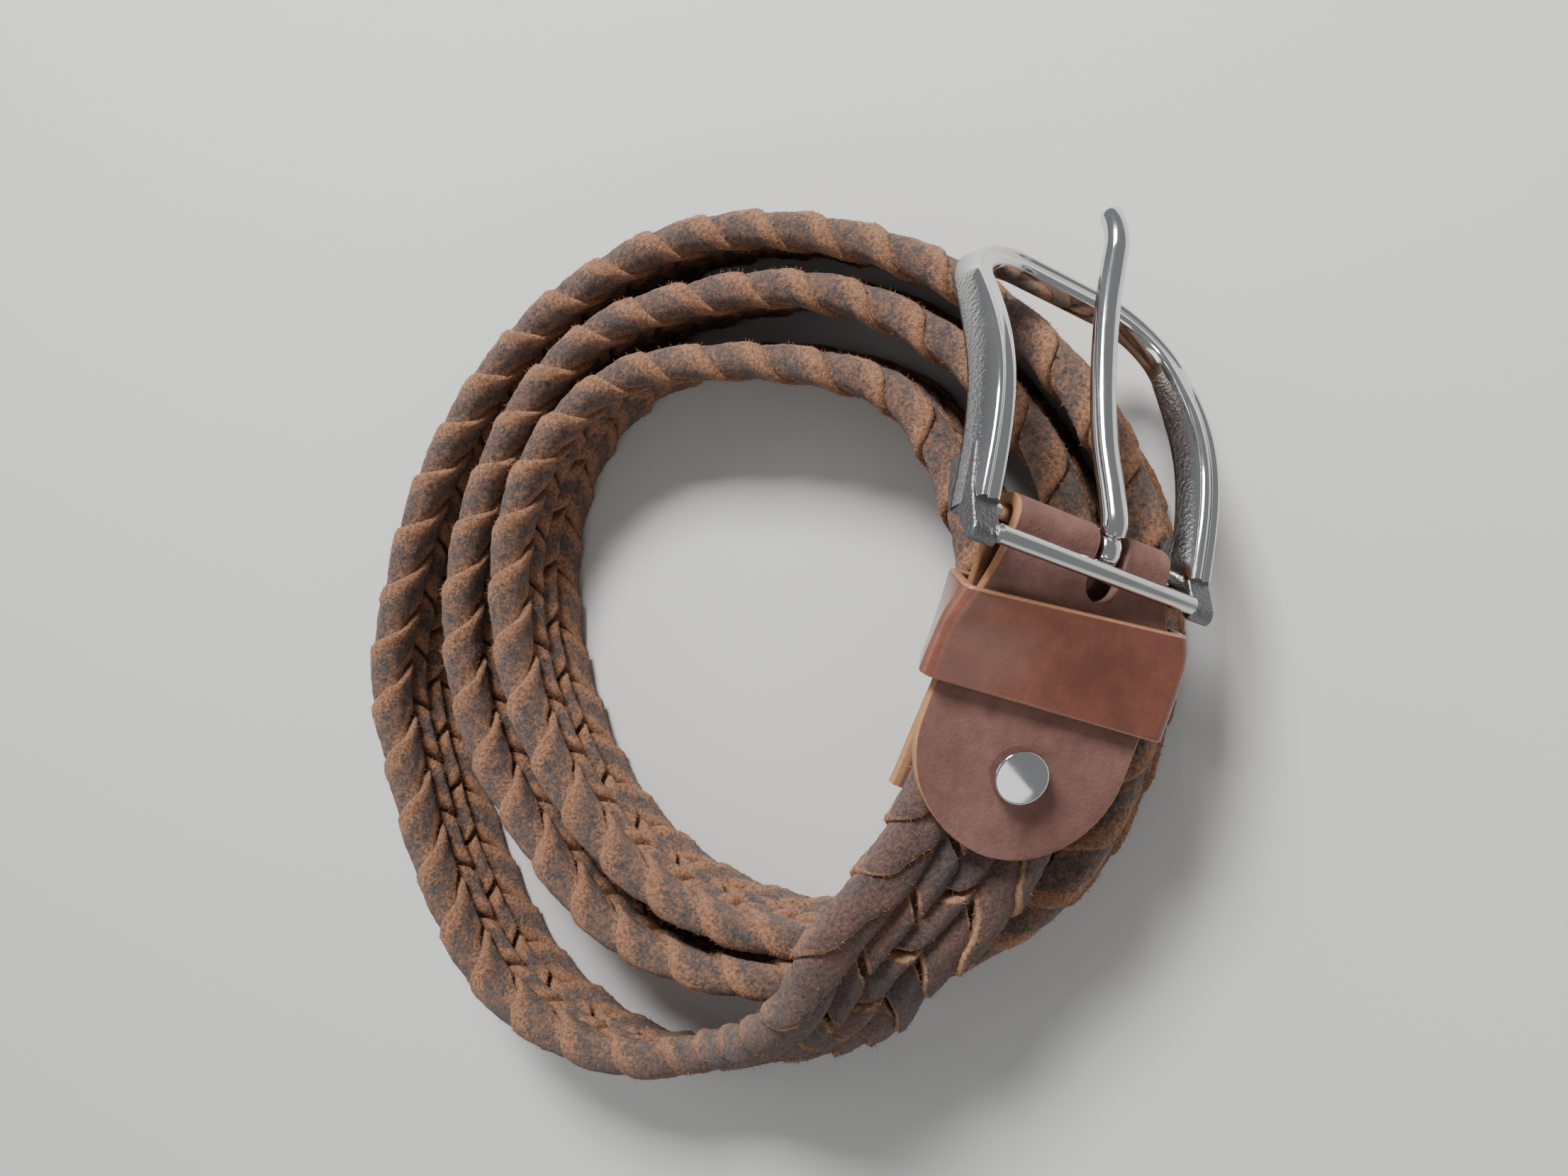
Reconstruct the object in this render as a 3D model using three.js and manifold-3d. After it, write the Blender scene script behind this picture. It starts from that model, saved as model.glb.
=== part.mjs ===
// A braided leather belt, rolled up in three turns and lying on its edge.
// Millimetres, +Z up. The turns stand on the ground around the middle of the coil; the folded
// tab with its keeper and buckle lies on top of the outermost turn. The finished group is set
// down with the middle of its base at the origin.

import * as THREE from 'three';
import { mergeVertices } from 'three/addons/utils/BufferGeometryUtils.js';
import Module from 'manifold-3d';

// Braided strap
const STRAP_WIDTH = 30;
const STRAP_THICKNESS = 7;
const PRESSED_THICKNESS = 4.6;
const PRESSED_LENGTH = 22;
const EDGE_ROUNDING = 1.6;
const COIL_RADIUS = 96;
const TURN_GAP = 0.35;
const BRAID_END_TURN = 1066;

// Leather tip at the inner end
const TIP_LENGTH = 44;
const TIP_THICKNESS = 5;

// Folded tab
const LEATHER = 2;
const TAB_WIDTH = 37;
const TAB_LENGTH = 57;
const BACK_LENGTH = 50;
const FOLD_WIDTH = 32;
const BACK_WIDTH = 31;
const WIDENING = 16;
const FOLD_SKEW = -8;
const SKEW_LENGTH = 14;
const LAYER_GAP = 0.4;
const BRAID_START = 13;

// Keeper loop
const KEEPER_START = 9.5;
const KEEPER_WIDTH = 17;
const KEEPER_LEATHER = 1.8;
const KEEPER_CLEARANCE = 0.5;
const KEEPER_SIDE_ROOM = 0.9;

// Rivet
const RIVET_FROM_END = 15;
const RIVET_CAP_RADIUS = 4.6;
const RIVET_CAP_HEIGHT = 2.6;
const RIVET_SHANK_RADIUS = 1.4;
const RIVET_BACK_RADIUS = 3.8;
const RIVET_BACK_HEIGHT = 0.8;
const RIVET_CUT = 9;
const HOLE_CLEARANCE = 0.3;

// Buckle frame, in its own plane: x forward to the front bar, y along the pivot bar, z to the front
const FRAME_WIDTH = 45;
const FRAME_LENGTH = 54.5;
const FRAME_CORNER = 13;
const FRAME_BAR = 4.8;
const FRAME_DEPTH = 7;
const FRONT_DEPTH = 5;
const FRAME_ARCH = 4.8;
const FRAME_FACE = 4.7;
const LEG_END = -1.5;
const FRAME_DROOP = 37;
const LUG_RADIUS = 2.8;
const ROD_RADIUS = 1.5;
const ROD_BACK = 6.3;
const ROD_LIFT = 3.4;
const BAR_RADIUS = 1.5;
const BAR_CLEARANCE = 0.35;

// Prong
const PRONG_RADIUS = 1.9;
const PRONG_RING = 2.3;
const PRONG_RING_WIDTH = 4;
const PRONG_SHIFT = -3.6;
const PRONG_SKEW = 7;
const SLOT_WIDTH = 6.4;
const SLOT_DEPTH = 8;

const FOLD_INSIDE = BAR_RADIUS + BAR_CLEARANCE;
const FOLD_OUTSIDE = FOLD_INSIDE + LEATHER;
const FRONT_LENGTH = TAB_LENGTH - FOLD_OUTSIDE;

// Distances between sections, close together where layers lie on each other
const FINE_STEP = 2;
const COARSE_STEP = 6.5;

const TURN_PITCH = STRAP_THICKNESS + TURN_GAP;
const PIVOT_TURN = -15;

// The route of the strap's middle. turn: degrees wound inward from the front of the coil.
// radius: share of COIL_RADIUS, before one turn pitch is taken off for each full turn.
// lift: share of STRAP_WIDTH that the lower edge is off the ground. lean: degrees that the
// outer face is tipped up.
const ROUTE = [
  { turn: -27, radius: 0.985, lift: 1.24, lean: 34 },
  { turn: -15, radius: 0.887, lift: 1.21, lean: 43 },
  { turn: -3, radius: 0.823, lift: 1.18, lean: 54 },
  { turn: 11, radius: 0.788, lift: 1.13, lean: 56 },
  { turn: 30, radius: 0.797, lift: 1.09, lean: 51 },
  { turn: 43, radius: 0.812, lift: 1.08, lean: 41 },
  { turn: 52, radius: 0.862, lift: 0.9, lean: 32 },
  { turn: 62, radius: 0.9, lift: 0.48, lean: 23 },
  { turn: 75, radius: 0.948, lift: 0.06, lean: 17 },
  { turn: 90, radius: 1.006, lift: 0, lean: 13 },
  { turn: 105, radius: 1.007, lift: 0, lean: 4 },
  { turn: 114, radius: 0.988, lift: 0, lean: 0 },
  { turn: 127, radius: 0.928, lift: 0, lean: 0 },
  { turn: 145, radius: 0.869, lift: 0, lean: 0 },
  { turn: 161, radius: 0.857, lift: 0, lean: 0 },
  { turn: 180, radius: 0.814, lift: 0, lean: 0 },
  { turn: 208, radius: 0.81, lift: 0, lean: 1 },
  { turn: 240, radius: 0.868, lift: 0, lean: 9 },
  { turn: 261, radius: 0.917, lift: 0, lean: 12 },
  { turn: 287, radius: 0.953, lift: 0, lean: 11 },
  { turn: 310, radius: 0.992, lift: 0, lean: 5 },
  { turn: 329, radius: 1.023, lift: 0, lean: 2 },
  { turn: 345, radius: 1.047, lift: 0, lean: 1 },
  { turn: 372, radius: 1.04, lift: 0, lean: 1 },
  { turn: 386, radius: 1.027, lift: 0, lean: 3 },
  { turn: 400, radius: 0.978, lift: 0, lean: 6 },
  { turn: 420, radius: 0.912, lift: 0, lean: 12 },
  { turn: 440, radius: 0.861, lift: 0, lean: 12 },
  { turn: 455, radius: 0.817, lift: 0, lean: 8 },
  { turn: 478, radius: 0.732, lift: 0, lean: 3 },
  { turn: 502, radius: 0.704, lift: 0, lean: 0 },
  { turn: 533, radius: 0.711, lift: 0, lean: 0 },
  { turn: 564, radius: 0.739, lift: 0, lean: 2 },
  { turn: 601, radius: 0.828, lift: 0, lean: 8 },
  { turn: 625, radius: 0.86, lift: 0, lean: 12 },
  { turn: 647, radius: 0.913, lift: 0, lean: 12 },
  { turn: 665, radius: 0.948, lift: 0, lean: 9 },
  { turn: 685, radius: 0.98, lift: 0, lean: 4 },
  { turn: 700, radius: 0.998, lift: 0, lean: 2 },
  { turn: 720, radius: 0.982, lift: 0, lean: 1 },
  { turn: 750, radius: 0.956, lift: 0, lean: 2 },
  { turn: 778, radius: 0.885, lift: 0, lean: 1 },
  { turn: 796, radius: 0.81, lift: 0, lean: 0 },
  { turn: 822, radius: 0.712, lift: 0, lean: 0 },
  { turn: 840, radius: 0.663, lift: 0, lean: 0 },
  { turn: 862, radius: 0.631, lift: 0, lean: -2 },
  { turn: 892, radius: 0.643, lift: 0, lean: -2 },
  { turn: 916, radius: 0.69, lift: 0, lean: 0 },
  { turn: 942, radius: 0.755, lift: 0, lean: 6 },
  { turn: 965, radius: 0.794, lift: 0, lean: 12 },
  { turn: 990, radius: 0.799, lift: 0, lean: 14 },
  { turn: 1010, radius: 0.836, lift: 0, lean: 12 },
  { turn: 1030, radius: 0.893, lift: 0, lean: 8 },
  { turn: 1055, radius: 0.883, lift: 0, lean: 3 },
  { turn: 1080, radius: 0.89, lift: 0, lean: 0 },
  { turn: 1130, radius: 0.9, lift: 0, lean: 0 },
];

// The prong's middle line from its ring to its tip, as shares of FRAME_LENGTH forward and of
// FRAME_DEPTH off the pivot bar.
const PRONG_LINE = [
  { forward: 0.02, off: 0.45 },
  { forward: 0.06, off: 0.62 },
  { forward: 0.16, off: 0.69 },
  { forward: 0.3, off: 0.74 },
  { forward: 0.45, off: 0.92 },
  { forward: 0.6, off: 1.2 },
  { forward: 0.75, off: 1.57 },
  { forward: 0.87, off: 1.98 },
  { forward: 0.935, off: 2.2 },
  { forward: 1.0, off: 2.24 },
  { forward: 1.06, off: 2.14 },
];

const UP = new THREE.Vector3(0, 0, 1);
const radians = THREE.MathUtils.degToRad;
const wasm = await Module();
wasm.setup();

// A column of the route table at a turn, as a smooth curve through its rows
function routeValue(turn, column) {
  const last = ROUTE.length - 1;
  let row = 0;
  while (row < last - 1 && ROUTE[row + 1].turn <= turn) {
    row += 1;
  }
  const slope = (index) => {
    const before = ROUTE[Math.max(index - 1, 0)];
    const after = ROUTE[Math.min(index + 1, last)];
    return (after[column] - before[column]) / (after.turn - before.turn);
  };
  const from = ROUTE[row];
  const to = ROUTE[row + 1];
  const span = to.turn - from.turn;
  const share = (turn - from.turn) / span;
  const squared = share * share;
  const cubed = squared * share;
  return (2 * cubed - 3 * squared + 1) * from[column]
    + (cubed - 2 * squared + share) * span * slope(row)
    + (3 * squared - 2 * cubed) * to[column]
    + (cubed - squared) * span * slope(row + 1);
}

function routePoint(turn) {
  const radius = COIL_RADIUS * routeValue(turn, 'radius') - TURN_PITCH * turn / 360;
  const lean = radians(routeValue(turn, 'lean'));
  const halfHeight = (STRAP_WIDTH * Math.cos(lean) + STRAP_THICKNESS * Math.abs(Math.sin(lean))) / 2;
  const height = halfHeight + STRAP_WIDTH * Math.max(routeValue(turn, 'lift'), 0);
  const angle = radians(-90 - turn);
  return new THREE.Vector3(radius * Math.cos(angle), radius * Math.sin(angle), height);
}

// Position and axes of the strap at a turn: along the belt, out of its face, across its width
function routeFrame(turn) {
  const step = 0.5;
  const at = routePoint(turn);
  const along = routePoint(turn + step).sub(routePoint(turn - step)).normalize();
  const outward = new THREE.Vector3().crossVectors(UP, along).normalize();
  const upward = new THREE.Vector3().crossVectors(along, outward);
  const lean = radians(routeValue(turn, 'lean'));
  const across = upward.clone().multiplyScalar(Math.cos(lean)).addScaledVector(outward, -Math.sin(lean));
  const face = outward.multiplyScalar(Math.cos(lean)).addScaledVector(upward, Math.sin(lean));
  return { at, along, face, across };
}

// The turn at each millimetre of belt, measured from the pivot bar
const TURN_AT = [PIVOT_TURN];
{
  const step = 0.05;
  let length = 0;
  let last = routePoint(PIVOT_TURN);
  for (let turn = PIVOT_TURN + step; turn < ROUTE[ROUTE.length - 1].turn - 1; turn += step) {
    const next = routePoint(turn);
    length += next.distanceTo(last);
    last = next;
    if (length >= TURN_AT.length) {
      TURN_AT.push(turn);
    }
  }
}

function frameAt(length) {
  const whole = Math.floor(length);
  const turn = THREE.MathUtils.lerp(TURN_AT[whole], TURN_AT[whole + 1], length - whole);
  return routeFrame(turn);
}

// The tab's fold line is turned a little in the plane of the leather
function tabFrame(length) {
  const frame = frameAt(length);
  const skew = radians(FOLD_SKEW) * (1 - THREE.MathUtils.smoothstep(length, 0, SKEW_LENGTH));
  frame.across.applyAxisAngle(frame.face, skew);
  frame.along.applyAxisAngle(frame.face, skew);
  return frame;
}

function place(frame, off, across) {
  return frame.at.clone().addScaledVector(frame.face, off).addScaledVector(frame.across, across);
}

// Half of the room between the tab's two layers
function coreHalf(length) {
  const pressed = PRESSED_THICKNESS / 2 + LAYER_GAP;
  const full = STRAP_THICKNESS / 2 + LAYER_GAP;
  const start = THREE.MathUtils.smoothstep(length, 0, BRAID_START);
  const grown = THREE.MathUtils.smoothstep(length, BRAID_START + 8, BRAID_START + 8 + PRESSED_LENGTH);
  return FOLD_INSIDE + (pressed - FOLD_INSIDE) * start + (full - pressed) * grown;
}

function evenSteps(from, to, step) {
  const count = Math.max(1, Math.round(Math.abs(to - from) / step));
  return Array.from({ length: count + 1 }, (_, index) => from + (to - from) * index / count);
}

// A closed solid through rings of points. Each ring goes round in the same sense.
function loftRings(rings, joined = false) {
  const size = rings[0].length;
  const points = rings.flat();
  const faces = [];
  const bands = joined ? rings.length : rings.length - 1;
  for (let band = 0; band < bands; band += 1) {
    const here = band * size;
    const next = ((band + 1) % rings.length) * size;
    for (let side = 0; side < size; side += 1) {
      const other = (side + 1) % size;
      faces.push(here + side, here + other, next + side);
      faces.push(here + other, next + other, next + side);
    }
  }
  if (!joined) {
    const lastRing = (rings.length - 1) * size;
    const middles = [rings[0], rings[rings.length - 1]].map((ring) => ring
      .reduce((sum, point) => sum.add(point), new THREE.Vector3()).divideScalar(size));
    points.push(...middles);
    for (let side = 0; side < size; side += 1) {
      const other = (side + 1) % size;
      faces.push(points.length - 2, other, side);
      faces.push(points.length - 1, lastRing + side, lastRing + other);
    }
  }
  return solidFrom(points, faces);
}

function solidFrom(points, faces) {
  const geometry = new THREE.BufferGeometry();
  geometry.setAttribute('position', new THREE.Float32BufferAttribute(points.flatMap((p) => p.toArray()), 3));
  geometry.setIndex(faces);
  if (signedVolume(geometry) < 0) {
    const turned = [];
    for (let face = 0; face < faces.length; face += 3) {
      turned.push(faces[face], faces[face + 2], faces[face + 1]);
    }
    geometry.setIndex(turned);
  }
  return geometry;
}

function signedVolume(geometry) {
  const position = geometry.attributes.position;
  const index = geometry.index;
  const corners = [new THREE.Vector3(), new THREE.Vector3(), new THREE.Vector3()];
  let total = 0;
  for (let face = 0; face < index.count; face += 3) {
    corners.forEach((corner, side) => corner.fromBufferAttribute(position, index.getX(face + side)));
    total += corners[0].dot(corners[1].clone().cross(corners[2])) / 6;
  }
  return total;
}

function toManifold(geometry) {
  const bare = geometry.clone();
  bare.deleteAttribute('normal');
  bare.deleteAttribute('uv');
  const merged = mergeVertices(bare, 1e-4);
  return new wasm.Manifold(new wasm.Mesh({
    numProp: 3,
    vertProperties: new Float32Array(merged.attributes.position.array),
    triVerts: new Uint32Array(merged.index.array),
  }));
}

function toGeometry(solid) {
  const mesh = solid.getMesh();
  const geometry = new THREE.BufferGeometry();
  geometry.setAttribute('position', new THREE.BufferAttribute(new Float32Array(mesh.vertProperties), 3));
  geometry.setIndex(Array.from(mesh.triVerts));
  return geometry;
}

// A matrix whose x, y and z axes are the given directions
function axesMatrix(x, y, z, at) {
  return new THREE.Matrix4().makeBasis(x, y, z).setPosition(at);
}

// The strap's section: a flat bar with rounded edges
function strapSection(frame, thickness, width) {
  const off = thickness / 2;
  const side = width / 2;
  const round = Math.min(EDGE_ROUNDING, off * 0.8);
  const outline = [
    [off, -side + round], [off, side - round], [off - round, side], [-off + round, side],
    [-off, side - round], [-off, -side + round], [-off + round, -side], [off - round, -side],
  ];
  return outline.map(([away, across]) => place(frame, away, across));
}

const BRAID_END = TURN_AT.findIndex((turn) => turn > BRAID_END_TURN);
const RIVET_AT = FRONT_LENGTH - RIVET_FROM_END;

function rivetCut(radius) {
  const frame = frameAt(RIVET_AT);
  const pin = new THREE.CylinderGeometry(radius, radius, 2 * RIVET_CUT, 16);
  pin.applyMatrix4(axesMatrix(frame.across, frame.face, frame.along.negate(), frame.at));
  return toManifold(pin);
}

function braidedStrap() {
  const stretch = (from, to, step) => evenSteps(from, to, step).map((length) => {
    const thickness = 2 * (coreHalf(length) - LAYER_GAP);
    return strapSection(tabFrame(length), thickness, STRAP_WIDTH);
  });
  const fine = stretch(BRAID_START, TAB_LENGTH, FINE_STEP);
  const body = loftRings(fine.concat(stretch(TAB_LENGTH, BRAID_END, COARSE_STEP).slice(1)));
  return toGeometry(toManifold(body).subtract(rivetCut(RIVET_SHANK_RADIUS + HOLE_CLEARANCE)));
}

function strapTip() {
  const start = BRAID_END + LAYER_GAP;
  const straight = TIP_LENGTH - STRAP_WIDTH / 2;
  const rings = evenSteps(0, straight, 6).map((length) => (
    strapSection(frameAt(start + length), TIP_THICKNESS, STRAP_WIDTH)));
  for (let step = 1; step <= 6; step += 1) {
    const angle = radians(step * 14.4);
    const width = STRAP_WIDTH * Math.cos(angle);
    const frame = frameAt(start + straight + STRAP_WIDTH / 2 * Math.sin(angle));
    rings.push(strapSection(frame, TIP_THICKNESS, Math.max(width, 2 * EDGE_ROUNDING + 1)));
  }
  return loftRings(rings);
}

// Half of a layer's width: both layers are narrower at the fold
function halfWidth(length, full) {
  const grown = THREE.MathUtils.smoothstep(length, 2, WIDENING);
  return THREE.MathUtils.lerp(FOLD_WIDTH, full, grown) / 2;
}

// The front layer's end is round
function frontHalfWidth(length) {
  const half = TAB_WIDTH / 2;
  const past = Math.max(length - (FRONT_LENGTH - half), 0) / half;
  return halfWidth(length, TAB_WIDTH) * Math.sqrt(Math.max(1 - past * past, 0));
}

function tabRing(frame, inner, outer, half) {
  return [
    place(frame, inner, -half), place(frame, inner, half), place(frame, outer, half), place(frame, outer, -half),
  ];
}

function buckleTab() {
  const half = TAB_WIDTH / 2;
  const rings = [];
  const roundEnd = [84, 76, 66, 55, 43, 30, 15, 0].map((angle) => FRONT_LENGTH - half + half * Math.sin(radians(angle)));
  const front = roundEnd.concat(evenSteps(FRONT_LENGTH - half, 0, FINE_STEP).slice(1));
  for (const length of front) {
    const core = coreHalf(length);
    rings.push(tabRing(tabFrame(length), core, core + LEATHER, frontHalfWidth(length)));
  }
  const fold = tabFrame(0);
  const steps = 10;
  for (let step = 1; step < steps; step += 1) {
    const angle = radians(90 - 180 * step / steps);
    const turned = {
      at: fold.at,
      face: fold.face.clone().multiplyScalar(Math.sin(angle)).addScaledVector(fold.along, -Math.cos(angle)),
      across: fold.across,
    };
    rings.push(tabRing(turned, FOLD_INSIDE, FOLD_OUTSIDE, FOLD_WIDTH / 2));
  }
  for (const length of evenSteps(0, BACK_LENGTH, FINE_STEP)) {
    const core = -coreHalf(length);
    rings.push(tabRing(tabFrame(length), core, core - LEATHER, halfWidth(length, BACK_WIDTH)));
  }
  return toGeometry(toManifold(loftRings(rings))
    .subtract(slotCut())
    .subtract(rivetCut(RIVET_SHANK_RADIUS + HOLE_CLEARANCE)));
}

// The prong's slot: straight through both layers, open at the fold, with a round inner end
function slotCut() {
  const half = SLOT_WIDTH / 2;
  const outline = new THREE.Shape();
  outline.moveTo(2 * FOLD_OUTSIDE, PRONG_SHIFT - half);
  outline.lineTo(2 * FOLD_OUTSIDE, PRONG_SHIFT + half);
  outline.lineTo(half - SLOT_DEPTH, PRONG_SHIFT + half);
  outline.absarc(half - SLOT_DEPTH, PRONG_SHIFT, half, Math.PI / 2, Math.PI * 1.5);
  outline.closePath();
  const depth = 6 * FOLD_OUTSIDE;
  const prism = new THREE.ExtrudeGeometry(outline, { depth, bevelEnabled: false, curveSegments: 8 });
  prism.translate(0, 0, -depth / 2);
  const fold = tabFrame(0);
  prism.applyMatrix4(axesMatrix(fold.along.clone().negate(), fold.across, fold.face, fold.at));
  return toManifold(prism);
}

// The outline round a convex polygon at a distance, with round corners
function roundedOutline(corners, distance, steps) {
  const outline = [];
  corners.forEach((corner, index) => {
    const before = corners[(index + corners.length - 1) % corners.length];
    const after = corners[(index + 1) % corners.length];
    const normal = (from, to) => Math.atan2(from[0] - to[0], to[1] - from[1]);
    const start = normal(before, corner);
    let sweep = normal(corner, after) - start;
    sweep = Math.atan2(Math.sin(sweep), Math.cos(sweep));
    for (let step = 0; step <= steps; step += 1) {
      const angle = start + sweep * step / steps;
      outline.push([corner[0] + distance * Math.cos(angle), corner[1] + distance * Math.sin(angle)]);
    }
  });
  return outline;
}

function keeper() {
  const rings = { inner: [], outer: [] };
  for (const length of evenSteps(KEEPER_START, KEEPER_START + KEEPER_WIDTH, FINE_STEP)) {
    const frame = tabFrame(length);
    const off = coreHalf(length) + LEATHER;
    const front = halfWidth(length, TAB_WIDTH) + KEEPER_SIDE_ROOM;
    const back = halfWidth(length, BACK_WIDTH) + KEEPER_SIDE_ROOM;
    const corners = [[off, -front], [off, front], [-off, back], [-off, -back]];
    const ring = (distance) => roundedOutline(corners, distance, 5)
      .map(([away, across]) => place(frame, away, across));
    rings.inner.push(ring(KEEPER_CLEARANCE));
    rings.outer.push(ring(KEEPER_CLEARANCE + KEEPER_LEATHER));
  }
  return loftRings([...rings.outer, ...rings.inner.reverse()], true);
}

function rivet() {
  const frame = frameAt(RIVET_AT);
  const seat = coreHalf(RIVET_AT) + LEATHER + LAYER_GAP;
  const top = seat + RIVET_CAP_HEIGHT;
  const profile = [
    [0, -seat - RIVET_BACK_HEIGHT], [RIVET_BACK_RADIUS - 0.4, -seat - RIVET_BACK_HEIGHT],
    [RIVET_BACK_RADIUS, -seat - RIVET_BACK_HEIGHT / 2], [RIVET_BACK_RADIUS, -seat],
    [RIVET_SHANK_RADIUS, -seat], [RIVET_SHANK_RADIUS, seat], [RIVET_CAP_RADIUS, seat],
    [RIVET_CAP_RADIUS, top - 0.5], [RIVET_CAP_RADIUS - 0.5, top], [0, top],
  ].map(([radius, height]) => new THREE.Vector2(radius, height));
  const geometry = new THREE.LatheGeometry(profile, 28);
  geometry.applyMatrix4(axesMatrix(frame.across, frame.face, frame.along.negate(), frame.at));
  return toGeometry(toManifold(geometry));
}

// How far the frame's front face stands off the pivot bar: its legs are arched
function frameFace(forward) {
  return FRAME_FACE + FRAME_ARCH * Math.sin(Math.PI * (forward + 2) / (0.83 * FRAME_LENGTH));
}

// The frame's middle line from one leg's end round the front bar to the other's
function frameLine() {
  const side = FRAME_WIDTH / 2;
  const points = evenSteps(LEG_END, FRAME_LENGTH - FRAME_CORNER, 4).map((forward) => [forward, side, 0]);
  for (let step = 1; step <= 8; step += 1) {
    const angle = radians(90 * step / 8);
    points.push([
      FRAME_LENGTH - FRAME_CORNER + FRAME_CORNER * Math.sin(angle),
      side - FRAME_CORNER + FRAME_CORNER * Math.cos(angle),
      angle,
    ]);
  }
  const other = points.slice().reverse().map(([forward, sideways, angle]) => [forward, -sideways, Math.PI - angle]);
  return points.concat([[FRAME_LENGTH, 0, Math.PI / 2]], other);
}

function frameRings() {
  const half = FRAME_BAR / 2;
  const chamfer = 1.1;
  const outline = [
    [-half, -0.9], [-half + 0.9, 0], [half - 1.5, 0], [half, -chamfer],
    [half, -FRAME_DEPTH + 1], [half - 0.8, -FRAME_DEPTH], [-half + 0.6, -FRAME_DEPTH], [-half, -FRAME_DEPTH + 0.8],
  ];
  const depthAt = (forward) => 1 + (FRONT_DEPTH / FRAME_DEPTH - 1)
    * THREE.MathUtils.smoothstep(forward, FRAME_LENGTH / 2, FRAME_LENGTH - 2);
  return frameLine().map(([forward, sideways, angle]) => {
    const outward = [Math.sin(angle), Math.cos(angle)];
    const face = frameFace(forward);
    return outline.map(([away, down]) => new THREE.Vector3(
      forward + outward[0] * away,
      sideways + outward[1] * away,
      face + down * depthAt(forward),
    ));
  });
}

function alongY(geometry, x, y, z) {
  geometry.translate(x, y, z);
  return toManifold(geometry);
}

// The lug carries the pivot bar and the rod at the end of a leg
function lug(side) {
  const outline = new THREE.Shape();
  outline.moveTo(8, -LUG_RADIUS + 1);
  outline.lineTo(8, frameFace(8) - 3);
  outline.lineTo(0.5, FRAME_FACE - 1.2);
  outline.lineTo(-ROD_BACK, ROD_LIFT + 0.6);
  outline.absarc(-ROD_BACK, ROD_LIFT - ROD_RADIUS, ROD_RADIUS + 0.5, Math.PI / 2, Math.PI);
  outline.absarc(0, 0, LUG_RADIUS, Math.PI, Math.PI * 1.5);
  outline.closePath();
  const plate = new THREE.ExtrudeGeometry(outline, { depth: FRAME_BAR, bevelEnabled: false, curveSegments: 6 });
  plate.rotateX(Math.PI / 2);
  return alongY(plate, 0, side * FRAME_WIDTH / 2 + FRAME_BAR / 2, 0);
}

function bar(radius, length) {
  return new THREE.CylinderGeometry(radius, radius, length, 20);
}

function buckleFrame() {
  const boreRadius = BAR_RADIUS + HOLE_CLEARANCE;
  let solid = toManifold(loftRings(frameRings()));
  solid = solid.add(lug(1)).add(lug(-1));
  solid = solid.add(alongY(bar(ROD_RADIUS, FRAME_WIDTH), -ROD_BACK, 0, ROD_LIFT));
  return toGeometry(solid.subtract(toManifold(bar(boreRadius, 2 * FRAME_WIDTH))));
}

function pivotBar() {
  return bar(BAR_RADIUS, FRAME_WIDTH + FRAME_BAR);
}

function prong() {
  const inside = BAR_RADIUS + HOLE_CLEARANCE;
  const half = PRONG_RING_WIDTH / 2;
  const outside = inside + PRONG_RING;
  const ring = new THREE.LatheGeometry([
    [inside, -half], [outside - 0.7, -half], [outside, -half + 0.8], [outside, half - 0.8],
    [outside - 0.7, half], [inside, half], [inside, -half],
  ].map(([radius, height]) => new THREE.Vector2(radius, height)), 24);
  ring.translate(0, PRONG_SHIFT, 0);
  const line = PRONG_LINE.map(({ forward, off }) => new THREE.Vector3(
    forward * FRAME_LENGTH,
    PRONG_SHIFT + forward * FRAME_LENGTH * Math.tan(radians(PRONG_SKEW)),
    off * FRAME_DEPTH,
  ));
  const curve = new THREE.CatmullRomCurve3(line, false, 'centripetal');
  const steps = 26;
  const rings = curve.getSpacedPoints(steps).map((point, index) => {
    const tangent = curve.getTangentAt(index / steps);
    const off = new THREE.Vector3(0, 1, 0).cross(tangent).negate();
    const taper = index === steps ? 0.55 : Math.min(1, 0.82 + 0.05 * (steps - index));
    const round = index === 0 ? 0.6 : 1;
    return Array.from({ length: 12 }, (_, side) => {
      const angle = 2 * Math.PI * side / 12;
      const radius = PRONG_RADIUS * taper * round;
      return point.clone()
        .addScaledVector(off, radius * Math.sin(angle))
        .add(new THREE.Vector3(0, radius * Math.cos(angle), 0));
    });
  });
  return toGeometry(toManifold(ring).add(toManifold(loftRings(rings))));
}

const leatherFinish = () => new THREE.MeshStandardMaterial({ color: 0x8a5138, roughness: 0.7, metalness: 0 });
const braidFinish = () => new THREE.MeshStandardMaterial({ color: 0x8c5a3a, roughness: 0.9, metalness: 0 });
const keeperFinish = () => new THREE.MeshStandardMaterial({ color: 0x7c3420, roughness: 0.3, metalness: 0 });
const chromeFinish = () => new THREE.MeshStandardMaterial({ color: 0xb8b8bc, roughness: 0.18, metalness: 1 });

function named(name, geometry, material) {
  const flat = geometry.index ? geometry.toNonIndexed() : geometry;
  flat.computeVertexNormals();
  const mesh = new THREE.Mesh(flat, material);
  mesh.name = name;
  return mesh;
}

const belt = new THREE.Group();
belt.add(
  named('braided_strap', braidedStrap(), braidFinish()),
  named('strap_tip', strapTip(), leatherFinish()),
  named('buckle_tab', buckleTab(), leatherFinish()),
  named('keeper', keeper(), keeperFinish()),
  named('rivet', rivet(), chromeFinish()),
);

// The buckle turns on the bar in the fold. Here its front bar hangs down over the outer turn.
const fold = tabFrame(0);
const hinge = new THREE.Group();
hinge.applyMatrix4(axesMatrix(fold.along.clone().negate(), fold.across, fold.face, fold.at));
const buckle = new THREE.Group();
buckle.rotation.y = radians(FRAME_DROOP);
buckle.add(
  named('buckle_frame', buckleFrame(), chromeFinish()),
  named('pivot_bar', pivotBar(), chromeFinish()),
  named('prong', prong(), chromeFinish()),
);
hinge.add(buckle);
belt.add(hinge);

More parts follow.
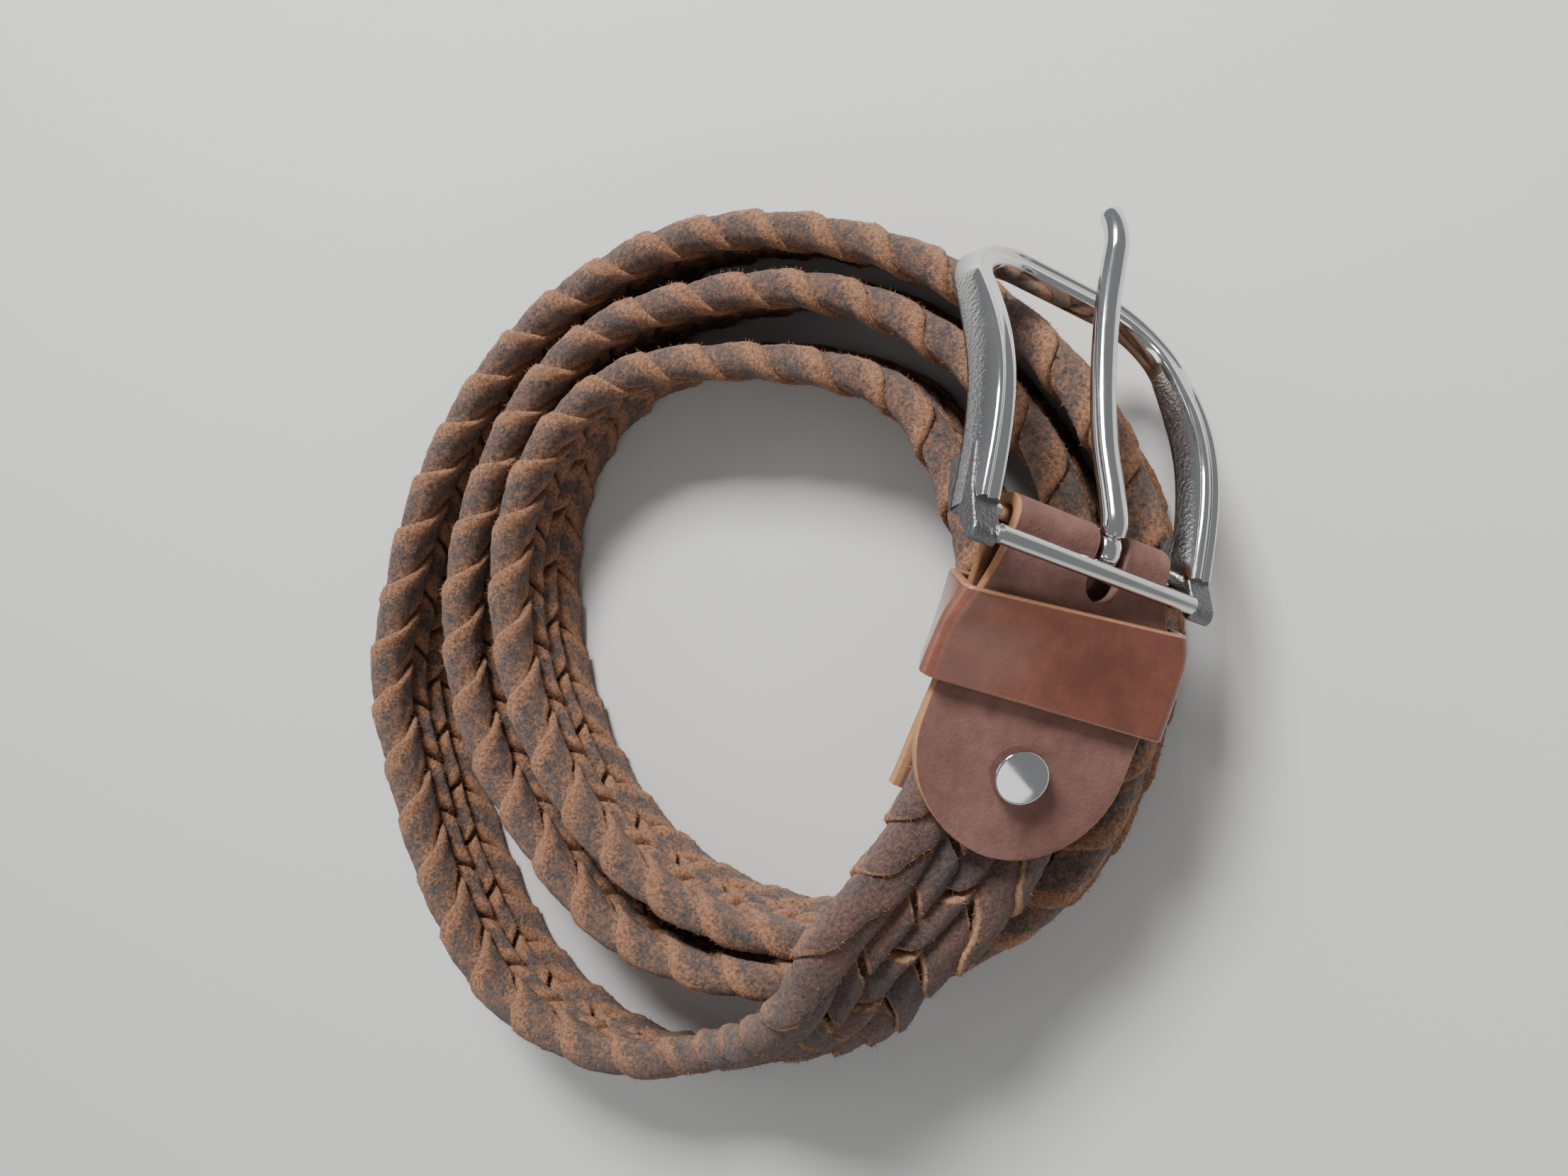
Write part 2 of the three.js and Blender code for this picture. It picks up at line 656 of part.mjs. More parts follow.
// Set down with the middle of the base at the origin
belt.updateMatrixWorld(true);
const bounds = new THREE.Box3().setFromObject(belt, true);
const middle = bounds.getCenter(new THREE.Vector3());
belt.position.set(-middle.x, -middle.y, -bounds.min.z);
belt.updateMatrixWorld(true);

export default belt;
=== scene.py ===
"""The looks of a braided leather belt that lies rolled up on its edge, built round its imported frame.

The belt's route, its five plaited strands, the leather tab with its keeper and rivet, and the
chrome buckle are each a class with named sizes. All lengths are in metres.
"""

import logging
import math
from dataclasses import dataclass, field
from enum import Enum
from typing import Callable, NamedTuple, Sequence

import bmesh
import bpy
import numpy as np
from mathutils import Matrix, Vector


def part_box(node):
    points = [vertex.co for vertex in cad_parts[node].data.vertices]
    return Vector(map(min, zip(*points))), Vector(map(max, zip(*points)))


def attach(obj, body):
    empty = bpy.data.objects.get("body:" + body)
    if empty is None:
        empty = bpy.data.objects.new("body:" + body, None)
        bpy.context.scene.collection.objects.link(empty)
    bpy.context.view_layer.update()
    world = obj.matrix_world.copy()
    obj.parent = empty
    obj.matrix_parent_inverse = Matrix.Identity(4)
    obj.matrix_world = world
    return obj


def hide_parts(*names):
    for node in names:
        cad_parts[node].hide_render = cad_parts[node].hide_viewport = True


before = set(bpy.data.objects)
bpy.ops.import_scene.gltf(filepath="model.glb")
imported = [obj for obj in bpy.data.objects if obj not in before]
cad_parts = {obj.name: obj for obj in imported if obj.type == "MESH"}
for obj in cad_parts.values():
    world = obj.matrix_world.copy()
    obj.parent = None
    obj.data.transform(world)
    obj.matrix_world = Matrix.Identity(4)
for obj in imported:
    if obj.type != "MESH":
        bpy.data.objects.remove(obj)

log = logging.getLogger("belt")

MM = 0.001
SAME_PLACE = 0.001 * MM
EDGE_FACES = 4
PRESSED_THICKNESS = 4.6 * MM
PRESSED_LENGTH = 22 * MM
BAR_RADIUS = 1.5 * MM
PRONG_SHIFT = -3.6 * MM
Ring = list[Vector]
Outline = list[tuple[float, float]]
Colour = tuple[float, float, float]


class Body(str, Enum):
    """The rigid bodies that pieces ride on."""

    STRAP = "strap"
    FRAME = "frame"
    PRONG = "prong"


class Slot(str, Enum):
    """The record's material slots."""

    BRAID = "braid"
    TAB = "tab_leather"
    KEEPER = "keeper_leather"
    CHROME = "chrome"


class Row(NamedTuple):
    """A row of the strap's route.

    Args:
        turn: degrees wound inward from the front of the coil.
        radius: share of the coil's radius, before one turn pitch is taken off for each full turn.
        lift: share of the strap's width that the lower edge is off the ground.
        lean: degrees that the outer face is tipped up.
    """

    turn: float
    radius: float
    lift: float
    lean: float


ROUTE = (
    Row(-27, 0.985, 1.24, 34), Row(-15, 0.887, 1.21, 43), Row(-3, 0.823, 1.18, 54),
    Row(11, 0.788, 1.13, 56), Row(30, 0.797, 1.09, 51), Row(43, 0.812, 1.08, 41),
    Row(52, 0.862, 0.9, 32), Row(62, 0.9, 0.48, 23), Row(75, 0.948, 0.06, 17),
    Row(90, 1.006, 0, 13), Row(105, 1.007, 0, 4), Row(114, 0.988, 0, 0),
    Row(127, 0.928, 0, 0), Row(145, 0.869, 0, 0), Row(161, 0.857, 0, 0),
    Row(180, 0.814, 0, 0), Row(208, 0.81, 0, 1), Row(240, 0.868, 0, 9),
    Row(261, 0.917, 0, 12), Row(287, 0.953, 0, 11), Row(310, 0.992, 0, 5),
    Row(329, 1.023, 0, 2), Row(345, 1.047, 0, 1), Row(372, 1.04, 0, 1),
    Row(386, 1.027, 0, 3), Row(400, 0.978, 0, 6), Row(420, 0.912, 0, 12),
    Row(440, 0.861, 0, 12), Row(455, 0.817, 0, 8), Row(478, 0.732, 0, 3),
    Row(502, 0.704, 0, 0), Row(533, 0.711, 0, 0), Row(564, 0.739, 0, 2),
    Row(601, 0.828, 0, 8), Row(625, 0.86, 0, 12), Row(647, 0.913, 0, 12),
    Row(665, 0.948, 0, 9), Row(685, 0.98, 0, 4), Row(700, 0.998, 0, 2),
    Row(720, 0.982, 0, 1), Row(750, 0.956, 0, 2), Row(778, 0.885, 0, 1),
    Row(796, 0.81, 0, 0), Row(822, 0.712, 0, 0), Row(840, 0.663, 0, 0),
    Row(862, 0.631, 0, -2), Row(892, 0.643, 0, -2), Row(916, 0.69, 0, 0),
    Row(942, 0.755, 0, 6), Row(965, 0.794, 0, 12), Row(990, 0.799, 0, 14),
    Row(1010, 0.836, 0, 12), Row(1030, 0.893, 0, 8), Row(1055, 0.883, 0, 3),
    Row(1080, 0.89, 0, 0), Row(1130, 0.9, 0, 0),
)

# Degrees round the tab's round end at which its skin has a ring, closest together near the point
END_ANGLES = (86.5, 84, 81, 77, 72, 66, 59, 52, 45, 38, 31, 24, 17, 10, 5)

# The prong's middle line, as shares of the frame's length forward and of its depth off the bar
PRONG_LINE = (
    (0.02, 0.45), (0.06, 0.62), (0.16, 0.69), (0.3, 0.74), (0.45, 0.92), (0.6, 1.2),
    (0.75, 1.57), (0.87, 1.98), (0.935, 2.2), (1.0, 2.24), (1.06, 2.14),
)


class Corner(NamedTuple):
    """A corner of the buckle frame's section.

    Args:
        side: -1 where it is set off from the inner side, 0 from the middle and 1 from the outer side.
        away: millimetres outward from there.
        back: 0 where its height is set off from the front face and 1 from the back.
        down: millimetres up from there, below 0 for down.
    """

    side: int
    away: float
    back: int
    down: float


FRAME_SECTION = (
    Corner(-1, 0, 0, -1.2), Corner(-1, 0.25, 0, -0.5), Corner(-1, 0.75, 0, -0.1), Corner(-1, 1.2, 0, 0),
    Corner(-1, 1.7, 0, -0.2), Corner(0, -0.2, 0, -0.55), Corner(0, 0.3, 0, -0.5),
    Corner(1, -1.9, 0, -0.1), Corner(1, -1.5, 0, 0), Corner(1, -1.1, 0, -0.2), Corner(1, -0.8, 0, -0.7),
    Corner(1, 0.4, 1, 1.2), Corner(1, 0.3, 1, 0.5), Corner(1, -0.2, 1, 0),
    Corner(-1, 0.7, 1, 0), Corner(-1, 0.2, 1, 0.3), Corner(-1, 0, 1, 0.9),
)


class Lamp(NamedTuple):
    """A square soft lamp.

    Args:
        name: the lamp's name.
        place: where it stands, in metres.
        size: its side in metres.
        power: its watts.
    """

    name: str
    place: tuple[float, float, float]
    size: float
    power: float


LAMPS = (
    Lamp("key", (0.62, 0.12, 0.72), 0.28, 15),
    Lamp("fill", (-0.7, -0.5, 0.8), 0.9, 3),
    Lamp("back", (0.1, 0.9, 0.55), 0.6, 2),
)


def smooth(value: float, low: float, high: float) -> float:
    """A smooth step.

    Args:
        value: where it is read.
        low: the step is 0 up to here.
        high: the step is 1 from here.

    Returns:
        A number from 0 to 1.
    """
    share = min(max((value - low) / (high - low), 0.0), 1.0)
    return share * share * (3 - 2 * share)


def mix(first: float, second: float, share: float) -> float:
    """The value at a share of the way from first to second."""
    return first + (second - first) * share


def even_steps(start: float, end: float, step: float) -> list[float]:
    """Evenly spaced values from start to end, about a step apart.

    Args:
        start: the first value.
        end: the last value.
        step: the wished distance.

    Returns:
        The values, both ends included.
    """
    count = max(1, round(abs(end - start) / step))
    return [start + (end - start) * index / count for index in range(count + 1)]


def arc(start: float, end: float, steps: int) -> list[float]:
    """Evenly spaced angles.

    Args:
        start: the first angle in degrees.
        end: the last angle in degrees.
        steps: how many steps lie between them.

    Returns:
        The angles in radians, both ends included.
    """
    return [math.radians(start + (end - start) * step / steps) for step in range(steps + 1)]


@dataclass
class Section:
    """A place on the belt with its axes: along the belt, out of its face and across its width."""

    at: Vector
    along: Vector
    face: Vector
    across: Vector

    def place(self, off: float, across: float) -> Vector:
        """The point that lies off out of the face and across from the middle."""
        return self.at + self.face * off + self.across * across


@dataclass
class StrapRoute:
    """The line that the strap's middle follows, from the pivot bar to the inner end."""

    coil_radius: float = 96 * MM
    strap_width: float = 30 * MM
    strap_thickness: float = 7 * MM
    turn_gap: float = 0.35 * MM
    pivot_turn: float = -15
    braid_end_turn: float = 1066
    fold_skew: float = -8
    skew_length: float = 14 * MM
    measure_step: float = 0.1
    slope_step: float = 0.5
    turns: list[float] = field(default_factory=list)
    shift: Vector = field(default_factory=Vector)

    def __post_init__(self) -> None:
        """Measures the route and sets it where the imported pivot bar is."""
        self.pitch = self.strap_thickness + self.turn_gap
        self._measure()
        low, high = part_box("pivot_bar")
        self.shift = (low + high) / 2 - self.point(self.pivot_turn)

    def _value(self, turn: float, column: str) -> float:
        """A column of the route's table at a turn, as a smooth curve through its rows."""
        last = len(ROUTE) - 1
        row = 0
        while row < last - 1 and ROUTE[row + 1].turn <= turn:
            row += 1

        def slope(index: int) -> float:
            before, after = ROUTE[max(index - 1, 0)], ROUTE[min(index + 1, last)]
            return (getattr(after, column) - getattr(before, column)) / (after.turn - before.turn)

        start, end = ROUTE[row], ROUTE[row + 1]
        span = end.turn - start.turn
        share = (turn - start.turn) / span
        squared, cubed = share ** 2, share ** 3
        return ((2 * cubed - 3 * squared + 1) * getattr(start, column)
                + (cubed - 2 * squared + share) * span * slope(row)
                + (3 * squared - 2 * cubed) * getattr(end, column)
                + (cubed - squared) * span * slope(row + 1))

    def point(self, turn: float) -> Vector:
        """The middle of the strap at a turn."""
        radius = self.coil_radius * self._value(turn, "radius") - self.pitch * turn / 360
        lean = math.radians(self._value(turn, "lean"))
        half = (self.strap_width * math.cos(lean) + self.strap_thickness * abs(math.sin(lean))) / 2
        height = half + self.strap_width * max(self._value(turn, "lift"), 0)
        angle = math.radians(-90 - turn)
        return Vector((radius * math.cos(angle), radius * math.sin(angle), height)) + self.shift

    def _measure(self) -> None:
        """Notes the turn at each millimetre of belt."""
        length = 0.0
        turn = self.pivot_turn
        last = self.point(turn)
        self.turns = [turn]
        while turn < ROUTE[-1].turn - 1:
            turn += self.measure_step
            here = self.point(turn)
            length += (here - last).length
            last = here
            if length >= len(self.turns) * MM:
                self.turns.append(turn)

    @property
    def braid_end(self) -> float:
        """The length from the pivot bar to the end of the braid."""
        return next(i for i, turn in enumerate(self.turns) if turn > self.braid_end_turn) * MM

    def section(self, length: float) -> Section:
        """The strap's place and axes at a length from the pivot bar.

        Args:
            length: metres of belt from the pivot bar.

        Returns:
            The section there.
        """
        whole = int(length / MM)
        turn = mix(self.turns[whole], self.turns[whole + 1], length / MM - whole)
        along = (self.point(turn + self.slope_step) - self.point(turn - self.slope_step)).normalized()
        outward = Vector((0, 0, 1)).cross(along).normalized()
        upward = along.cross(outward)
        lean = math.radians(self._value(turn, "lean"))
        across = upward * math.cos(lean) - outward * math.sin(lean)
        face = outward * math.cos(lean) + upward * math.sin(lean)
        return Section(self.point(turn), along, face, across)

    def tab_section(self, length: float) -> Section:
        """As section, with the tab's fold line turned a little in the plane of the leather."""
        here = self.section(length)
        skew = math.radians(self.fold_skew) * (1 - smooth(length, 0, self.skew_length))
        turned = Matrix.Rotation(skew, 3, here.face)
        here.across = turned @ here.across
        here.along = turned @ here.along
        return here


class Shader:
    """A material's node tree, built a node at a time."""

    def __init__(self, name: str) -> None:
        """Makes an empty tree with a Principled shader.

        Args:
            name: the material's name.
        """
        self.material = bpy.data.materials.new(name)
        self.material.use_nodes = True
        self.nodes = self.material.node_tree.nodes
        self.links = self.material.node_tree.links
        self.shader = self.nodes["Principled BSDF"]
        self.place = self.add("ShaderNodeTexCoord").outputs["Object"]

    def add(self, kind: str, **settings: object) -> bpy.types.Node:
        """Adds a node and sets its properties."""
        node = self.nodes.new(kind)
        for name, value in settings.items():
            setattr(node, name, value)
        return node

    def feed(self, socket: bpy.types.NodeSocket, value: object) -> None:
        """Links an output to a socket, or sets the socket's own value."""
        if isinstance(value, bpy.types.NodeSocket):
            self.links.new(value, socket)
        else:
            socket.default_value = value

    def maths(self, operation: str, first: object, second: object = 0.0) -> bpy.types.NodeSocket:
        """The result of a Math node."""
        node = self.add("ShaderNodeMath", operation=operation)
        self.feed(node.inputs[0], first)
        self.feed(node.inputs[1], second)
        return node.outputs[0]

    def noise(self, scale: float, detail: float = 4, roughness: float = 0.6) -> bpy.types.NodeSocket:
        """Noise on Object coordinates.

        Args:
            scale: blobs to a metre.
            detail: the noise's octaves.
            roughness: how strong the fine octaves are.

        Returns:
            The noise's value, from 0 to 1.
        """
        node = self.add("ShaderNodeTexNoise")
        self.feed(node.inputs["Vector"], self.place)
        node.inputs["Scale"].default_value = scale
        node.inputs["Detail"].default_value = detail
        node.inputs["Roughness"].default_value = roughness
        return node.outputs["Fac"]

    def cells(self, scale: float) -> bpy.types.NodeSocket:
        """The distance to the nearest point of a cell pattern, for leather grain."""
        node = self.add("ShaderNodeTexVoronoi")
        self.feed(node.inputs["Vector"], self.place)
        node.inputs["Scale"].default_value = scale
        return node.outputs["Distance"]

    def ramp(self, value: object, *stops: tuple[float, float]) -> bpy.types.NodeSocket:
        """A value led through a smooth ramp of (place, level) stops."""
        node = self.add("ShaderNodeValToRGB")
        node.color_ramp.interpolation = "EASE"
        while len(node.color_ramp.elements) < len(stops):
            node.color_ramp.elements.new(0.5)
        for element, (place, level) in zip(node.color_ramp.elements, stops):
            element.position = place
            element.color = (level, level, level, 1)
        self.feed(node.inputs[0], value)
        return node.outputs[0]

    def blend(self, share: object, first: object, second: object,
              kind: str = "MIX") -> bpy.types.NodeSocket:
        """Two colours blended by a share."""
        node = self.add("ShaderNodeMix", data_type="RGBA", blend_type=kind)
        self.feed(node.inputs["Factor"], share)
        for socket, value in ((node.inputs[6], first), (node.inputs[7], second)):
            self.feed(socket, (*value, 1) if isinstance(value, tuple) else value)
        return node.outputs[2]

    def attribute(self, name: str, part: str = "Fac") -> bpy.types.NodeSocket:
        """A mesh attribute's output."""
        return self.add("ShaderNodeAttribute", attribute_name=name).outputs[part]

    def bump(self, height: object, depth: float, strength: float = 1.0) -> None:
        """Bump on the shader's normal.

        Args:
            height: the height's output, from 0 to 1.
            depth: metres from 0 to 1.
            strength: how much of it shows.
        """
        node = self.add("ShaderNodeBump")
        node.inputs["Distance"].default_value = depth
        node.inputs["Strength"].default_value = strength
        self.feed(node.inputs["Height"], height)
        self.feed(self.shader.inputs["Normal"], node.outputs[0])

    def set(self, **values: object) -> None:
        """Feeds the Principled shader's sockets, with _ for each space in their names."""
        for name, value in values.items():
            socket = self.shader.inputs[name.replace("_", " ")]
            self.feed(socket, (*value, 1) if isinstance(value, tuple) and len(value) == 3 else value)


@dataclass(frozen=True)
class StrandLeather:
    """Raw strands: a dark worn middle, fuzzy orange borders and a rough flesh side."""

    dark: Colour = (0.078, 0.06, 0.054)
    border: Colour = (0.31, 0.145, 0.072)
    flesh: Colour = (0.2, 0.1, 0.058)
    grain: Colour = (0.15, 0.072, 0.052)
    cream: Colour = (0.4, 0.215, 0.11)

    def material(self) -> bpy.types.Material:
        """The strands' material."""
        tree = Shader("strand_leather")
        rim = tree.add("ShaderNodeSeparateXYZ")
        tree.feed(rim.inputs[0], tree.attribute("rim", "Vector"))
        face, side = rim.outputs[0], rim.outputs[1]
        coarse = tree.noise(230, 6)
        fine = tree.noise(1300, 5, 0.7)
        ragged = tree.maths("ADD", tree.maths("ABSOLUTE", side), tree.maths("MULTIPLY", fine, 0.9))
        edge = tree.ramp(tree.maths("MULTIPLY", ragged, 0.6), (0.42, 0), (0.68, 1))
        outer = tree.maths("MULTIPLY", face, tree.attribute("outward"))
        outer_share = tree.maths("ADD", tree.maths("MULTIPLY", outer, 0.5), 0.5)
        skin = tree.ramp(outer_share, (0.35, 0), (0.75, 1))
        patches = tree.ramp(tree.noise(520, 6, 0.7), (0.38, 0), (0.62, 1))
        rough = tree.blend(patches, self.dark, self.flesh)
        rough = tree.blend(edge, rough, self.border)
        smooth_face = tree.blend(tree.ramp(tree.noise(90), (0.3, 0), (0.7, 1)), self.grain, self.dark)
        cut = tree.ramp(tree.maths("ABSOLUTE", side), (0.86, 0), (0.97, 1))
        smooth_face = tree.blend(cut, smooth_face, self.cream)
        worn = tree.maths("MULTIPLY", skin, tree.attribute("smooth_part"))
        colour = tree.blend(worn, rough, smooth_face)
        shade = tree.ramp(fine, (0.25, 0.4), (0.72, 1.5))
        colour = tree.blend(1.0, colour, shade, "MULTIPLY")
        height = tree.maths("ADD", tree.maths("MULTIPLY", fine, 0.8), coarse)
        tree.bump(height, 1.1 * MM, 1.0)
        tree.set(Base_Color=colour, Roughness=0.86, Sheen_Weight=0.12, Sheen_Roughness=0.5)
        return tree.material


@dataclass(frozen=True)
class Fuzz:
    """The loose fibres on the strands' cut edges."""

    root: Colour = (0.3, 0.13, 0.05)
    light: Colour = (0.5, 0.27, 0.12)

    def material(self) -> bpy.types.Material:
        """The fibres' material."""
        tree = Shader("leather_fuzz")
        colour = tree.blend(tree.ramp(tree.noise(400), (0.35, 0), (0.65, 1)), self.root, self.light)
        tree.set(Base_Color=colour, Roughness=0.9)
        return tree.material


@dataclass(frozen=True)
class SmoothLeather:
    """Cut leather with a dyed grain side and a pale cut edge."""

    name: str
    deep: Colour
    high: Colour
    edge: Colour
    roughness: float
    coat: float = 0.0
    grain_depth: float = 0.12 * MM
    crease: float = 0.5

    def material(self) -> bpy.types.Material:
        """The leather's material, which reads the attribute cut for its edges."""
        tree = Shader(self.name)
        cloud = tree.noise(55, 4)
        pores = tree.cells(1500)
        wrinkles = tree.noise(260, 5, 0.7)
        base = tree.blend(tree.ramp(cloud, (0.3, 0), (0.72, 1)), self.deep, self.high)
        shade = tree.ramp(wrinkles, (0.25, 0.8), (0.75, 1.15))
        base = tree.blend(1.0, base, shade, "MULTIPLY")
        cut = tree.ramp(tree.attribute("cut"), (0.35, 0), (0.75, 1))
        edge = tree.blend(tree.noise(700), self.edge, tuple(part * 0.55 for part in self.edge))
        colour = tree.blend(cut, base, edge)
        height = tree.maths("ADD", tree.maths("MULTIPLY", pores, 0.7),
                            tree.maths("MULTIPLY", wrinkles, self.crease))
        tree.bump(height, self.grain_depth, 0.6)
        rough = tree.maths("ADD", tree.maths("MULTIPLY", cut, 0.35), tree.maths("MULTIPLY", wrinkles, 0.2))
        rough = tree.maths("ADD", rough, self.roughness)
        tree.set(Base_Color=colour, Roughness=rough, Coat_Weight=self.coat, Coat_Roughness=0.16)
        return tree.material


@dataclass(frozen=True)
class Chrome:
    """Polished plated metal, darkened with painted shade where its shade attribute is 1, and rougher and
    pitted there.
    """

    plate: Colour = (0.66, 0.655, 0.65)
    # the colour that the painted shade darkens the plate towards, on the legs' inner and outer side walls
    # and on the lugs
    painted_shade_colour: Colour = (0.1, 0.1, 0.105)

    def material(self) -> bpy.types.Material:
        """The metal's material."""
        tree = Shader("chrome")
        # painted shade: where the attribute is high the plate is darkened towards the shade colour, and made
        # rougher and pitted
        painted_shade = tree.attribute("painted_shade")
        smudge = tree.ramp(tree.noise(120, 5), (0.35, 0), (0.75, 1))
        pits = tree.noise(1500, 3)
        colour = tree.blend(painted_shade, self.plate, self.painted_shade_colour)
        rough = tree.maths("ADD", tree.maths("MULTIPLY", smudge, 0.1), 0.07)
        rough = tree.maths("ADD", rough, tree.maths("MULTIPLY", tree.maths("POWER", painted_shade, 3), 0.4))
        tree.bump(tree.maths("MULTIPLY", pits, painted_shade), 0.35 * MM, 0.9)
        tree.set(Base_Color=colour, Metallic=1.0, Roughness=rough)
        return tree.material


@dataclass
class Finishes:
    """One material for each finish."""

    strand: bpy.types.Material = field(default_factory=lambda: StrandLeather().material())
    fuzz: bpy.types.Material = field(default_factory=lambda: Fuzz().material())
    tab: bpy.types.Material = field(default_factory=lambda: SmoothLeather(
        "tab_leather", (0.165, 0.078, 0.062), (0.235, 0.118, 0.098), (0.5, 0.25, 0.12), 0.95).material())
    keeper: bpy.types.Material = field(default_factory=lambda: SmoothLeather(
        "keeper_leather", (0.13, 0.033, 0.017), (0.2, 0.062, 0.034), (0.42, 0.2, 0.1), 0.75,
        coat=0.8, grain_depth=0.08 * MM, crease=0.9).material())
    chrome: bpy.types.Material = field(default_factory=lambda: Chrome().material())


def build_mesh(name: str, points: Sequence[Vector], faces: Sequence[Sequence[int]],
               crisp: float = 40) -> bpy.types.Object:
    """A smooth shaded mesh object at the origin.

    Args:
        name: the object's name.
        points: its vertices in metres.
        faces: its faces, each a list of vertex numbers.
        crisp: edges sharper than these degrees stay crisp.

    Returns:
        The object, linked to the scene.
    """
    mesh = bpy.data.meshes.new(name)
    mesh.from_pydata([tuple(point) for point in points], [], [list(face) for face in faces])
    if signed_volume(mesh) < 0:
        mesh.flip_normals()
    mesh.shade_smooth()
    mesh.set_sharp_from_angle(angle=math.radians(crisp))
    piece = bpy.data.objects.new(name, mesh)
    bpy.context.scene.collection.objects.link(piece)
    return piece


def signed_volume(mesh: bpy.types.Mesh) -> float:
    """The volume that a mesh's faces enclose, below 0 where they point in."""
    total = 0.0
    for face in mesh.polygons:
        corners = [mesh.vertices[index].co for index in face.vertices]
        for index in range(1, len(corners) - 1):
            total += corners[0].dot(corners[index].cross(corners[index + 1])) / 6
    return total


def read_vectors(data: bpy.types.bpy_prop_collection, name: str) -> np.ndarray:
    """The vectors of a mesh's vertices or of an attribute, a row for each."""
    flat = np.zeros(len(data) * 3, np.float32)
    data.foreach_get(name, flat)
    return flat.reshape(-1, 3).astype(float)


def mark(piece: bpy.types.Object, name: str, values: Sequence[float]) -> None:
    """Stores a number for each vertex as a mesh attribute."""
    attribute = piece.data.attributes.new(name, "FLOAT", "POINT")
    attribute.data.foreach_set("value", np.array(values, np.float32))


def loft(name: str, rings: Sequence[Ring], joined: bool = False, crisp: float = 40) -> bpy.types.Object:
    """A closed skin through rings of points.

    Args:
        name: the object's name.
        rings: the rings, all of one size and sense.
        joined: whether the last ring leads back to the first, so that there are no caps.
        crisp: edges sharper than these degrees stay crisp.

    Returns:
        The object.
    """
    size = len(rings[0])
    points = [point for ring in rings for point in ring]
    faces: list[Sequence[int]] = []
    for band in range(len(rings) if joined else len(rings) - 1):
        here, there = band * size, (band + 1) % len(rings) * size
        for side in range(size):
            other = (side + 1) % size
            faces.append((here + side, here + other, there + other, there + side))
    if not joined:
        faces.append(tuple(reversed(range(size))))
        faces.append(tuple(range(len(points) - size, len(points))))
    return build_mesh(name, points, faces, crisp)


def lathe(name: str, profile: Outline, place: Matrix, steps: int = 48) -> bpy.types.Object:
    """A closed solid turned about the y axis of a place.

    Args:
        name: the object's name.
        profile: (radius, height) points that start and end on the axis, or close on themselves.
        place: the matrix that sets it down.
        steps: sections round the axis.

    Returns:
        The object.
    """
    rings = []
    for angle in arc(0, 360, steps)[:-1]:
        rings.append([place @ Vector((radius * math.cos(angle), height, radius * math.sin(angle)))
                      for radius, height in profile])
    piece = loft(name, rings, joined=True, crisp=35)
    merge_doubles(piece)
    return piece


def merge_doubles(piece: bpy.types.Object) -> None:
    """Joins vertices at one place and drops the faces that have no area."""
    work = bmesh.new()
    work.from_mesh(piece.data)
    bmesh.ops.remove_doubles(work, verts=work.verts, dist=SAME_PLACE)
    bmesh.ops.recalc_face_normals(work, faces=work.faces)
    work.to_mesh(piece.data)
    work.free()


def bevel(piece: bpy.types.Object, width: float, segments: int = 3, angle: float = 32) -> None:
    """Rounds the crisp edges of a piece and applies it.

    Args:
        piece: the mesh object.
        width: the bevel's width.
        segments: faces across it.
        angle: only edges sharper than these degrees.
    """
    modifier = piece.modifiers.new("edges", "BEVEL")
    modifier.width = width
    modifier.segments = segments
    modifier.limit_method = "ANGLE"
    modifier.angle_limit = math.radians(angle)
    bake(piece)
    piece.data.shade_smooth()


def bake(piece: bpy.types.Object) -> None:
    """Turns a piece's evaluated shape into its own plain mesh and removes its modifiers."""
    shown = piece.evaluated_get(bpy.context.evaluated_depsgraph_get())
    mesh = bpy.data.meshes.new_from_object(shown)
    piece.modifiers.clear()
    piece.data = mesh


def dress(piece: bpy.types.Object, material: bpy.types.Material, body: Body, slot: Slot,
          *replaced: str) -> None:
    """Gives a piece its material and body, and hides the CAD nodes that it replaces.

    Args:
        piece: the mesh object.
        material: its finish.
        body: the body that it rides on.
        slot: the record's material slot; not used.
        replaced: the CAD nodes that it stands for.
    """
    piece.data.materials.clear()
    piece.data.materials.append(material)
    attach(piece, body.value)
    if replaced:
        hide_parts(*replaced)
    log.info("%s: %d faces on %s", piece.name, len(piece.data.polygons), body.value)


